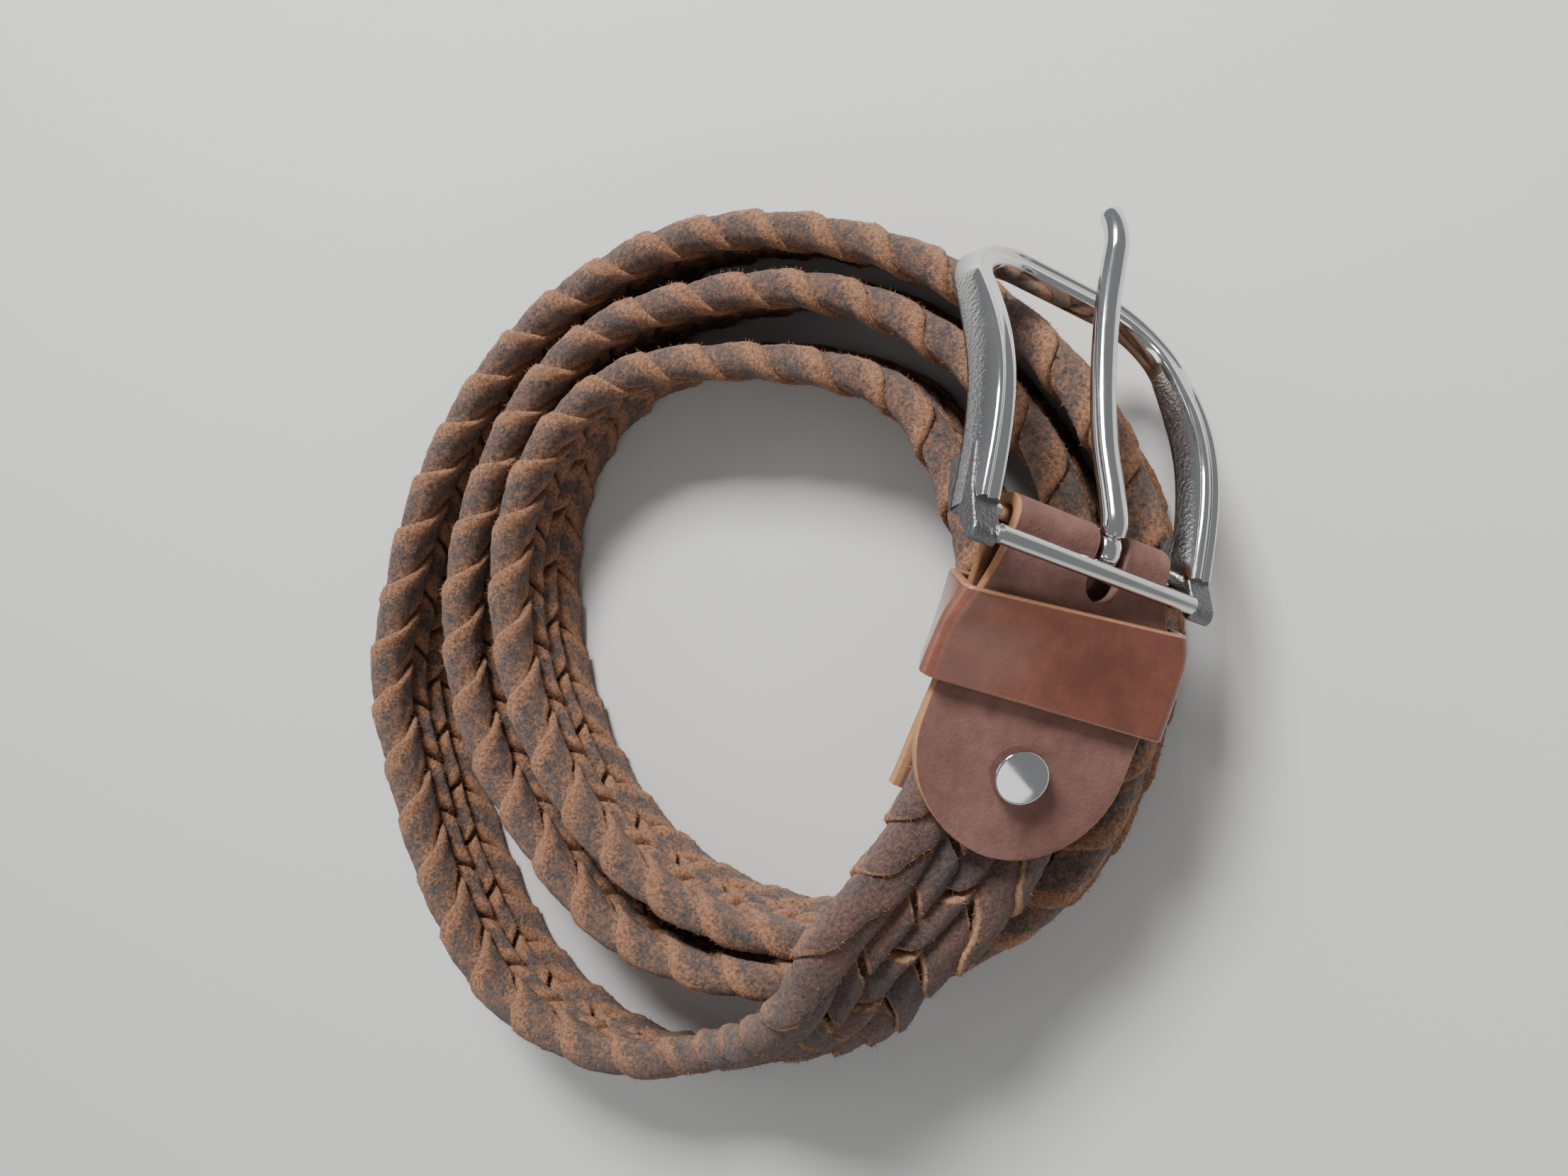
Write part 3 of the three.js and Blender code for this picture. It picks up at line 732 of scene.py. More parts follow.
class Nodes:
    """A Geometry Nodes tree, built a node at a time."""

    def __init__(self, name: str) -> None:
        """Makes a tree with a geometry input and output."""
        self.tree = bpy.data.node_groups.new(name, "GeometryNodeTree")
        face = self.tree.interface
        face.new_socket("Geometry", in_out="INPUT", socket_type="NodeSocketGeometry")
        face.new_socket("Geometry", in_out="OUTPUT", socket_type="NodeSocketGeometry")
        self.source = self.tree.nodes.new("NodeGroupInput")
        self.result = self.tree.nodes.new("NodeGroupOutput")
        self.values: dict[str, float] = {}

    def size(self, name: str, value: float) -> bpy.types.NodeSocket:
        """Adds a named input and keeps the value that the modifier gives it."""
        item = self.tree.interface.new_socket(name, in_out="INPUT", socket_type="NodeSocketFloat")
        self.values[item.identifier] = value
        return self.source.outputs[name]

    def add(self, kind: str, feeds: dict | None = None, **settings: object) -> bpy.types.Node:
        """Adds a node, sets its properties and feeds its inputs by name or number."""
        node = self.tree.nodes.new(kind)
        for name, value in settings.items():
            setattr(node, name, value)
        for key, value in (feeds or {}).items():
            if isinstance(value, bpy.types.NodeSocket):
                self.tree.links.new(value, node.inputs[key])
            else:
                node.inputs[key].default_value = value
        return node

    def maths(self, operation: str, first: object, second: object = 0.0) -> bpy.types.NodeSocket:
        """The result of a Math node."""
        return self.add("ShaderNodeMath", {0: first, 1: second}, operation=operation).outputs[0]

    def finish(self, geometry: bpy.types.NodeSocket, material: bpy.types.Material) -> None:
        """Ends the tree in Realize Instances and Set Material."""
        real = self.add("GeometryNodeRealizeInstances", {"Geometry": geometry})
        smooth_skin = self.add("GeometryNodeSetShadeSmooth", {"Geometry": real.outputs[0]})
        shown = self.add("GeometryNodeSetMaterial", {"Geometry": smooth_skin.outputs[0]})
        shown.inputs["Material"].default_value = material
        self.tree.links.new(shown.outputs[0], self.result.inputs[0])

    def run(self, piece: bpy.types.Object) -> None:
        """Runs the tree on a piece, whose mesh becomes the result."""
        modifier = piece.modifiers.new("nodes", "NODES")
        modifier.node_group = self.tree
        for identifier, value in self.values.items():
            modifier[identifier] = value
        bake(piece)


@dataclass
class Braid:
    """The flat plait of five leather strands that follows the route.

    Each strand is first made flat, as if the plait's faces were unrolled round its edges. Then it is
    wrapped: it weaves over and under the others across a face and folds round each edge.
    """

    route: StrapRoute
    finishes: Finishes
    strands: int = 5
    strand_width: float = 8.5 * MM
    strand_thickness: float = 3.3 * MM
    period: float = 67 * MM
    edge_room: float = 0.3 * MM
    edge_slowing: float = 0.68
    edge_spread: float = 0.36
    shingle: float = 0.85 * MM
    overlap_spread: float = 0.55
    weave_from: float = 0.6
    weave_span: float = 0.4
    past_end: float = 12 * MM
    edge_fillet: float = 0.2
    section_points: int = 30
    ground_clearance: float = 0.15 * MM
    start: float = 14 * MM
    step: float = 1.1 * MM
    rough: float = 1.1 * MM
    pressed_thickness: float = PRESSED_THICKNESS
    pressed_from: float = 21 * MM
    pressed_length: float = PRESSED_LENGTH
    smooth_until: float = 190 * MM
    smooth_from: float = 0.6
    smooth_to: float = 1.2
    fibre_length: float = 0.8 * MM
    fibre_radius: float = 0.05 * MM
    fibre_density: float = 120000
    fibre_seed: int = 7
    lean_seed: int = 3
    scale_seed: int = 11
    fillet_steps: int = 3
    fibre_lean: float = 1.1
    fibre_spread: float = 0.5
    fuzzy_from: float = 0.72
    fuzzy_share: float = 9
    grain_scale: float = 420

    def __post_init__(self) -> None:
        """Works out the plait's section: how far it is flat, and its edges' radius."""
        self.lift = (self.route.strap_thickness - self.strand_thickness) / 2
        self.reach = self.route.strap_width / 2 - self.strand_thickness / 2 - self.edge_room
        self.flat = self.reach - self.lift
        self.quarter = math.pi / 2 * self.lift
        self.unrolled = self.flat + self.quarter

    def unrolled_across(self, count: float) -> float:
        """How far a strand has gone across the unrolled faces after a number of crossings.

        Args:
            count: crossings passed, with an edge at each whole number of strands.

        Returns:
            The distance. It grows more slowly round an edge.
        """
        edge = round(count / self.strands)
        share = (count - edge * self.strands) / (self.strands / 2)
        slowed = self.edge_slowing * self.edge_spread * math.sqrt(math.pi) / 2
        whole = 1 - slowed * math.erf(1 / self.edge_spread)
        part = (share - slowed * math.erf(share / self.edge_spread)) / whole
        return self.unrolled * (2 * edge + part)

    def strand_line(self, number: int) -> bpy.types.Object:
        """A strand's middle line in the unrolled plane: x along the belt and y across.

        Args:
            number: the strand, from 0.

        Returns:
            An object of vertices and edges.
        """
        lengths = even_steps(self.start, self.route.braid_end, self.step)
        points = []
        for length in lengths:
            count = 2 * self.strands * (length / self.period + number / self.strands)
            points.append((length, self.unrolled_across(count), 0.0))
        mesh = bpy.data.meshes.new(f"strand_{number + 1}")
        mesh.from_pydata(points, [(index, index + 1) for index in range(len(points) - 1)], [])
        way = mesh.attributes.new("face_way", "FLOAT_VECTOR", "POINT")
        way.data.foreach_set("vector", np.tile(np.array([0, 0, 1], np.float32), len(points)))
        line = bpy.data.objects.new(mesh.name, mesh)
        bpy.context.scene.collection.objects.link(line)
        return line

    def wrap(self, strand: bpy.types.Object) -> None:
        """Wraps a strand from the unrolled plane round the plait and along the route.

        Args:
            strand: the flat strand, which is changed.
        """
        along, unrolled, raised = read_vectors(strand.data.vertices, "co").T
        rim = read_vectors(strand.data.attributes["rim"].data, "vector")
        edge = np.round(unrolled / (2 * self.unrolled))
        away = unrolled - 2 * self.unrolled * edge
        side = np.where(edge % 2 == 1, 1.0, -1.0)
        overlap = np.exp(-(away / self.unrolled / self.overlap_spread) ** 2) * rim[:, 1]
        outward = side * raised + self.shingle * overlap
        turned = np.clip(away / self.lift, -math.pi / 2, math.pi / 2)
        off, across = self.fold(away, outward, turned)
        self.lay(strand, along, off, side * across)
        mark(strand, "outward", -side * np.sin(turned))
        low, high = self.smooth_until * self.smooth_from, self.smooth_until * self.smooth_to
        mark(strand, "smooth_part", [1 - smooth(float(length), low, high) for length in along])
        if signed_volume(strand.data) < 0:
            strand.data.flip_normals()
        strand.data.update()

    def fold(self, away: np.ndarray, outward: np.ndarray,
             turned: np.ndarray) -> tuple[np.ndarray, np.ndarray]:
        """Folds unrolled places round the plait's edge, and weaves them across its faces.

        Args:
            away: how far each place is from the middle of the edge.
            outward: how far it stands out of the strand's middle layer.
            turned: the angle that it is turned round the edge.

        Returns:
            How far each place is off the plait's middle and across from it.
        """
        level = self.flat - np.maximum(np.abs(away) - self.quarter, 0)
        crossed = np.clip((self.weave_from * self.reach - level) / (self.weave_span * self.reach), 0, 1.5)
        on_edge = np.abs(away) <= self.quarter
        off = np.where(on_edge, -(self.lift + outward) * np.sin(turned),
                       -np.sign(away) * (self.lift * np.cos(math.pi * crossed) + outward))
        across = np.where(on_edge, self.flat + (self.lift + outward) * np.cos(turned), level)
        return off, across

    def lay(self, strand: bpy.types.Object, along: np.ndarray, off: np.ndarray,
            across: np.ndarray) -> None:
        """Sets a strand's points along the route, none of them under the ground.

        Args:
            strand: the strand, which is changed.
            along: each point's length from the pivot bar.
            off: how far it is off the plait's middle.
            across: how far it is across from it.
        """
        stations = np.arange(0, self.route.braid_end + self.past_end, MM)
        frames = [self.route.tab_section(float(length)) for length in stations]
        ends = np.clip(along, stations[0], stations[-1])

        def axis(name: str) -> np.ndarray:
            rows = np.array([tuple(getattr(section, name)) for section in frames])
            return np.stack([np.interp(ends, stations, rows[:, part]) for part in range(3)], axis=1)

        pressed = np.array([self.thickness(float(length)) for length in stations])
        thin = np.interp(ends, stations, pressed) / self.route.strap_thickness
        placed = axis("at") + axis("face") * (off * thin)[:, None] + axis("across") * across[:, None]
        placed[:, 2] = np.maximum(placed[:, 2], self.ground_clearance)
        strand.data.vertices.foreach_set("co", placed.astype(np.float32).ravel())

    def rest(self, piece: bpy.types.Object) -> None:
        """Lifts a piece's points that lie under the ground up to it."""
        for vertex in piece.data.vertices:
            vertex.co.z = max(vertex.co.z, self.ground_clearance)

    def thickness(self, length: float) -> float:
        """The plait's thickness: it is pressed flat between the tab's layers."""
        grown = smooth(length, self.pressed_from, self.pressed_from + self.pressed_length)
        return mix(self.pressed_thickness, self.route.strap_thickness, grown)

    def strand_nodes(self) -> Nodes:
        """The tree that sweeps a flat leather section along a strand's line and roughens it."""
        nodes = Nodes("leather_strand")
        width = nodes.size("Strand width", self.strand_width)
        thickness = nodes.size("Strand thickness", self.strand_thickness)
        rough = nodes.size("Raggedness", self.rough)
        line = nodes.add("GeometryNodeMeshToCurve", {"Mesh": nodes.source.outputs["Geometry"]})
        way = nodes.add("GeometryNodeInputNamedAttribute", {"Name": "face_way"},
                        data_type="FLOAT_VECTOR")
        turned = nodes.add("GeometryNodeSetCurveNormal",
                           {"Curve": line.outputs[0], "Normal": way.outputs["Attribute"]}, mode="FREE")
        flat = nodes.add("GeometryNodeCurvePrimitiveQuadrilateral", {"Width": thickness, "Height": width})
        corner = nodes.maths("MULTIPLY", thickness, self.edge_fillet)
        soft = nodes.add("GeometryNodeFilletCurve",
                         {"Curve": flat.outputs[0], "Radius": corner, "Limit Radius": True}, mode="POLY")
        soft.inputs["Count"].default_value = self.fillet_steps
        even = nodes.add("GeometryNodeResampleCurve",
                         {"Curve": soft.outputs[0], "Count": self.section_points})
        half = nodes.add("ShaderNodeCombineXYZ", {
            0: nodes.maths("MULTIPLY", thickness, 0.5), 1: nodes.maths("MULTIPLY", width, 0.5), 2: 1.0})
        where = nodes.add("GeometryNodeInputPosition")
        share = nodes.add("ShaderNodeVectorMath", {0: where.outputs[0], 1: half.outputs[0]},
                          operation="DIVIDE")
        section = nodes.add("GeometryNodeStoreNamedAttribute",
                            {"Geometry": even.outputs[0], "Name": "rim", "Value": share.outputs[0]},
                            data_type="FLOAT_VECTOR", domain="POINT")
        skin = nodes.add("GeometryNodeCurveToMesh", {
            "Curve": turned.outputs[0], "Profile Curve": section.outputs[0], "Fill Caps": True})
        grain = nodes.add("ShaderNodeTexNoise",
                          {"Vector": where.outputs[0], "Scale": self.grain_scale, "Detail": 3.0})
        centred = nodes.add("ShaderNodeVectorMath", {0: grain.outputs["Color"], 1: (0.5, 0.5, 0.5)},
                            operation="SUBTRACT")
        moved = nodes.add("ShaderNodeVectorMath", {0: centred.outputs[0], "Scale": rough},
                          operation="SCALE")
        ragged = nodes.add("GeometryNodeSetPosition",
                           {"Geometry": skin.outputs[0], "Offset": moved.outputs[0]})
        nodes.finish(ragged.outputs[0], self.finishes.strand)
        return nodes

    def fibre_nodes(self) -> Nodes:
        """The tree that sets loose fibres on the cut edges of the strands."""
        nodes = Nodes("loose_fibres")
        length = nodes.size("Fibre length", self.fibre_length)
        radius = nodes.size("Fibre radius", self.fibre_radius)
        density = nodes.size("Fibres to a square metre", self.fibre_density)
        rim = nodes.add("GeometryNodeInputNamedAttribute", {"Name": "rim"}, data_type="FLOAT_VECTOR")
        parts = nodes.add("ShaderNodeSeparateXYZ", {0: rim.outputs["Attribute"]})
        side = nodes.maths("ABSOLUTE", parts.outputs[1])
        edge = nodes.maths("MULTIPLY", nodes.maths("GREATER_THAN", side, self.fuzzy_from), self.fuzzy_share)
        amount = nodes.maths("MULTIPLY", density, nodes.maths("ADD", edge, 1.0))
        spread = nodes.add("GeometryNodeDistributePointsOnFaces", {
            "Mesh": nodes.source.outputs["Geometry"], "Density": amount, "Seed": self.fibre_seed},
            distribute_method="RANDOM")
        cone = nodes.add("GeometryNodeMeshCone", {
            "Vertices": 3, "Radius Top": 0.0, "Radius Bottom": radius, "Depth": length}, fill_type="NGON")
        lean = nodes.add("FunctionNodeRandomValue", {"Seed": self.lean_seed}, data_type="FLOAT_VECTOR")
        lean.inputs[0].default_value = [-self.fibre_lean] * 3
        lean.inputs[1].default_value = [self.fibre_lean] * 3
        way = nodes.add("ShaderNodeVectorMath", {0: spread.outputs["Normal"], 1: lean.outputs[0]},
                        operation="ADD")
        turn = nodes.add("FunctionNodeAlignRotationToVector", {"Vector": way.outputs[0]}, axis="Z")
        scale = nodes.add("FunctionNodeRandomValue", {"Seed": self.scale_seed}, data_type="FLOAT")
        scale.inputs[2].default_value = 1 - self.fibre_spread
        scale.inputs[3].default_value = 1 + self.fibre_spread
        fibres = nodes.add("GeometryNodeInstanceOnPoints", {
            "Points": spread.outputs["Points"], "Instance": cone.outputs["Mesh"],
            "Rotation": turn.outputs[0], "Scale": scale.outputs[1]})
        nodes.finish(fibres.outputs[0], self.finishes.fuzz)
        return nodes

    def build(self) -> None:
        """Builds the strands and their fibres and dresses them."""
        sweep = self.strand_nodes()
        skins = []
        for number in range(self.strands):
            strand = self.strand_line(number)
            sweep.run(strand)
            self.wrap(strand)
            skins.append(strand)
            replaced = ("braided_strap",) if number == 0 else ()
            dress(strand, self.finishes.strand, Body.STRAP, Slot.BRAID, *replaced)
        fibre_tree = self.fibre_nodes()
        for number, skin in enumerate(skins):
            fibres = bpy.data.objects.new(f"fibres_{number + 1}", skin.data.copy())
            bpy.context.scene.collection.objects.link(fibres)
            fibre_tree.run(fibres)
            self.rest(fibres)
            dress(fibres, self.finishes.fuzz, Body.STRAP, Slot.BRAID)


def rounded_bar(section: Section, low: float, high: float, half: float, corner: float,
                columns: int = 14) -> tuple[Ring, list[float]]:
    """A ring round a flat bar of leather with rounded edges.

    Args:
        section: the place on the belt.
        low: the bar's inner face, off the middle of the strap.
        high: its outer face.
        half: half of its width.
        corner: the radius of its edges.
        columns: points along each face.

    Returns:
        The ring, and for each point 1 on the cut edge and 0 on the faces.
    """
    ring, cut = [], []
    corner = min(corner, (high - low) / 2 * 0.98, half * 0.98)
    top, bottom = high - corner, low + corner
    quarter = [90 * step / EDGE_FACES for step in range(1, EDGE_FACES)]

    def face(off: float, side: int, first: int) -> None:
        for column in range(first, columns + 1):
            ring.append(section.place(off, mix(side * (half - corner), side * (corner - half),
                                               column / columns)))
            cut.append(0.0)

    def edge(middle: float, side: int, angles: Sequence[float]) -> None:
        for angle in angles:
            turned = math.radians(angle)
            ring.append(section.place(middle + corner * math.sin(turned),
                                      side * (half - corner + corner * math.cos(turned))))
            cut.append(1.0)

    face(high, -1, 0)
    edge(top, 1, quarter[::-1])
    edge(bottom, 1, [0, *[-angle for angle in quarter], -90])
    face(low, 1, 1)
    edge(bottom, -1, [-angle for angle in reversed(quarter)])
    edge(top, -1, [0, *quarter])
    return ring, cut


@dataclass
class LeatherTab:
    """The folded leather that holds the buckle, with its keeper, its rivet and the strap's tip."""

    route: StrapRoute
    finishes: Finishes
    leather: float = 2 * MM
    tab_width: float = 37 * MM
    tab_length: float = 57 * MM
    back_length: float = 50 * MM
    fold_width: float = 32 * MM
    back_width: float = 31 * MM
    widening: float = 16 * MM
    layer_gap: float = 0.4 * MM
    braid_start: float = 13 * MM
    pressed_thickness: float = PRESSED_THICKNESS
    pressed_length: float = PRESSED_LENGTH
    pressed_after: float = 8 * MM
    bar_radius: float = BAR_RADIUS
    bar_clearance: float = 0.35 * MM
    edge_corner: float = 0.45 * MM
    slot_width: float = 6.4 * MM
    slot_depth: float = 8 * MM
    cutter_reach: float = 12 * MM
    prong_shift: float = PRONG_SHIFT
    keeper_start: float = 9.5 * MM
    keeper_width: float = 17 * MM
    keeper_leather: float = 1.8 * MM
    keeper_clearance: float = 0.5 * MM
    keeper_side_room: float = 0.9 * MM
    keeper_rounding: float = 0.5 * MM
    rivet_from_end: float = 15 * MM
    rivet_cap_radius: float = 4.6 * MM
    rivet_cap_height: float = 2.6 * MM
    rivet_back_radius: float = 3.8 * MM
    rivet_back_height: float = 0.8 * MM
    rivet_edge: float = 0.5 * MM
    tip_length: float = 44 * MM
    tip_thickness: float = 5 * MM
    tip_rounding: float = 0.9 * MM
    tip_step: float = 1.5 * MM
    step: float = 0.8 * MM

    @property
    def fold_inside(self) -> float:
        """The inner radius of the fold round the pivot bar."""
        return self.bar_radius + self.bar_clearance

    @property
    def front_length(self) -> float:
        """The front layer's length from the pivot bar."""
        return self.tab_length - self.fold_inside - self.leather

    def core(self, length: float) -> float:
        """Half of the room between the tab's two layers."""
        pressed = self.pressed_thickness / 2 + self.layer_gap
        full = self.route.strap_thickness / 2 + self.layer_gap
        start = smooth(length, 0, self.braid_start)
        first = self.braid_start + self.pressed_after
        grown = smooth(length, first, first + self.pressed_length)
        return self.fold_inside + (pressed - self.fold_inside) * start + (full - pressed) * grown

    def half_width(self, length: float, full: float) -> float:
        """Half of a layer's width: both layers are narrower at the fold."""
        return mix(self.fold_width, full, smooth(length, 2 * MM, self.widening)) / 2

    def front_half(self, length: float) -> float:
        """Half of the front layer's width, with its round end."""
        half = self.tab_width / 2
        past = max(length - (self.front_length - half), 0) / half
        return self.half_width(length, self.tab_width) * math.sqrt(max(1 - past * past, 0))

    def tab(self) -> None:
        """Builds the folded tab in one skin from its round front end to the back layer's end."""
        rings, cuts = [], []
        half = self.tab_width / 2

        def ring(section: Section, low: float, high: float, width: float, end: float = 0.0) -> None:
            points, cut = rounded_bar(section, low, high, width, self.edge_corner)
            rings.append(points)
            cuts.extend([max(value, end) for value in cut])

        for angle in END_ANGLES:
            length = self.front_length - half + half * math.sin(math.radians(angle))
            core = self.core(length)
            ring(self.route.tab_section(length), core, core + self.leather, self.front_half(length),
                 1.0 if angle == END_ANGLES[0] else 0.0)
        for length in even_steps(self.front_length - half, 0, self.step):
            core = self.core(length)
            ring(self.route.tab_section(length), core, core + self.leather, self.front_half(length))
        fold = self.route.tab_section(0)
        for angle in arc(90, -90, 16)[1:-1]:
            outward = fold.face * math.sin(angle) - fold.along * math.cos(angle)
            turned = Section(fold.at, fold.along, outward, fold.across)
            ring(turned, self.fold_inside, self.fold_inside + self.leather, self.fold_width / 2)
        for length in even_steps(0, self.back_length, self.step):
            core = -self.core(length)
            here = self.route.tab_section(length)
            mirrored = Section(here.at, here.along, -here.face, here.across)
            ring(mirrored, -core, -core + self.leather, self.half_width(length, self.back_width))
        tab = loft("leather_tab", rings, crisp=50)
        mark(tab, "cut", cuts)
        cutter = self.slot_cutter()
        cut = tab.modifiers.new("slot", "BOOLEAN")
        cut.operation = "DIFFERENCE"
        cut.solver = "EXACT"
        cut.object = cutter
        bake(tab)
        bpy.data.objects.remove(cutter)
        tab.data.shade_smooth()
        tab.data.set_sharp_from_angle(angle=math.radians(50))
        dress(tab, self.finishes.tab, Body.STRAP, Slot.TAB, "buckle_tab")

    def slot_cutter(self) -> bpy.types.Object:
        """The prong's slot: open at the fold, with a round inner end."""
        half = self.slot_width / 2
        far = 2 * (self.fold_inside + self.leather)
        outline = [(far, self.prong_shift - half), (far, self.prong_shift + half)]
        for angle in arc(90, 270, 12):
            outline.append((half - self.slot_depth + half * math.cos(angle),
                            self.prong_shift + half * math.sin(angle)))
        fold = self.route.tab_section(0)
        rings = [[fold.at - fold.along * x + fold.across * y + fold.face * z for x, y in outline]
                 for z in (-self.cutter_reach, self.cutter_reach)]
        cutter = loft("slot_cutter", rings)
        mark(cutter, "cut", [1.0] * len(cutter.data.vertices))
        return cutter

    def keeper(self) -> None:
        """Builds the keeper: a glossy band round both layers of the tab."""
        rounding = self.keeper_rounding
        end = self.keeper_start + self.keeper_width
        inside = even_steps(self.keeper_start, end, self.step)[1:-1]
        lengths = [self.keeper_start + rounding, *inside, end - rounding]

        def outline(length: float, distance: float) -> Ring:
            here = self.route.tab_section(length)
            off = self.core(length) + self.leather
            front = self.half_width(length, self.tab_width) + self.keeper_side_room
            back = self.half_width(length, self.back_width) + self.keeper_side_room
            corners = [(off, -front), (off, front), (-off, back), (-off, -back)]
            return [here.place(away, across) for away, across in round_corners(corners, distance)]

        inner, outer = self.keeper_clearance, self.keeper_clearance + self.keeper_leather
        rings, cuts = [], []

        def ring(length: float, distance: float, cut: float) -> None:
            rings.append(outline(length, distance))
            cuts.append(cut)

        def rim(middle: float, way: int, first: float, last: float) -> None:
            for step in range(1, 8):
                angle = math.pi * step / 8
                lift = mix(first, last, smooth(step, 2, 6))
                ring(middle + way * rounding * math.sin(angle), lift + way * rounding * math.cos(angle), 1.0)

        for length in lengths:
            ring(length, outer, 0.0)
        rim(end - rounding, 1, outer - rounding, inner + rounding)
        for length in reversed(lengths):
            ring(length, inner, 0.0)
        rim(self.keeper_start + rounding, -1, inner + rounding, outer - rounding)
        keeper = loft("keeper_band", rings, joined=True, crisp=60)
        size = len(rings[0])
        mark(keeper, "cut", [value for value in cuts for _ in range(size)])
        dress(keeper, self.finishes.keeper, Body.STRAP, Slot.KEEPER, "keeper")

    def rivet(self) -> None:
        """Builds the rivet: a flat cap in front and a plate behind the back layer."""
        length = self.front_length - self.rivet_from_end
        here = self.route.section(length)
        place = Matrix((here.across, here.face, -here.along)).transposed().to_4x4()
        place.translation = here.at
        seat = self.core(length) + self.leather
        top = seat + self.layer_gap + self.rivet_cap_height
        edge = self.rivet_edge
        cap = [(0, seat - MM), (self.rivet_cap_radius * 0.8, seat - MM),
               (self.rivet_cap_radius, seat + 0.2 * MM)]
        for angle in arc(0, 90, 4):
            cap.append((self.rivet_cap_radius - edge + edge * math.cos(angle),
                        top - edge + edge * math.sin(angle)))
        cap.append((0, top))
        dress(lathe("rivet_cap", cap, place), self.finishes.chrome, Body.STRAP, Slot.CHROME, "rivet")
        low = -seat - self.layer_gap
        radius, height = self.rivet_back_radius, self.rivet_back_height
        plate = [(0, low - height), (radius * 0.85, low - height), (radius, low - height / 3),
                 (radius, low), (0, low + MM)]
        dress(lathe("rivet_plate", plate, place), self.finishes.chrome, Body.STRAP, Slot.CHROME)

    def tip(self) -> None:
        """Builds the leather tip at the inner end, with its round point."""
        start = self.route.braid_end + self.layer_gap
        half = self.route.strap_width / 2
        straight = self.tip_length - half
        rings, cuts = [], []

        def ring(length: float, width: float) -> None:
            points, cut = rounded_bar(self.route.section(start + length), -self.tip_thickness / 2,
                                      self.tip_thickness / 2, width, self.tip_rounding)
            rings.append(points)
            cuts.extend(cut)

        for length in even_steps(0, straight, self.tip_step):
            ring(length, half)
        for angle in arc(0, 84, 14)[1:]:
            ring(straight + half * math.sin(angle), half * math.cos(angle))
        tip = loft("leather_tip", rings, crisp=50)
        mark(tip, "cut", cuts)
        dress(tip, self.finishes.tab, Body.STRAP, Slot.TAB, "strap_tip")

    def build(self) -> None:
        """Builds the tab, the keeper, the rivet and the tip."""
        self.tab()
        self.keeper()
        self.rivet()
        self.tip()


def round_corners(corners: Outline, distance: float, steps: int = 12) -> Outline:
    """The outline round a convex polygon at a distance, with round corners.

    Args:
        corners: the polygon's corners, anticlockwise.
        distance: how far off the outline runs.
        steps: faces round each corner.

    Returns:
        The outline's points.
    """
    outline = []
    count = len(corners)
    for index, corner in enumerate(corners):
        before, after = corners[index - 1], corners[(index + 1) % count]
        start = math.atan2(before[0] - corner[0], corner[1] - before[1])
        sweep = math.atan2(corner[0] - after[0], after[1] - corner[1]) - start
        sweep = math.atan2(math.sin(sweep), math.cos(sweep))
        for step in range(steps + 1):
            angle = start + sweep * step / steps
            outline.append((corner[0] + distance * math.cos(angle), corner[1] + distance * math.sin(angle)))
        away = (math.cos(start + sweep) * distance, math.sin(start + sweep) * distance)
        for share in (0.25, 0.5, 0.75):
            outline.append((mix(corner[0] + away[0], after[0] + away[0], share),
                            mix(corner[1] + away[1], after[1] + away[1], share)))
    return outline


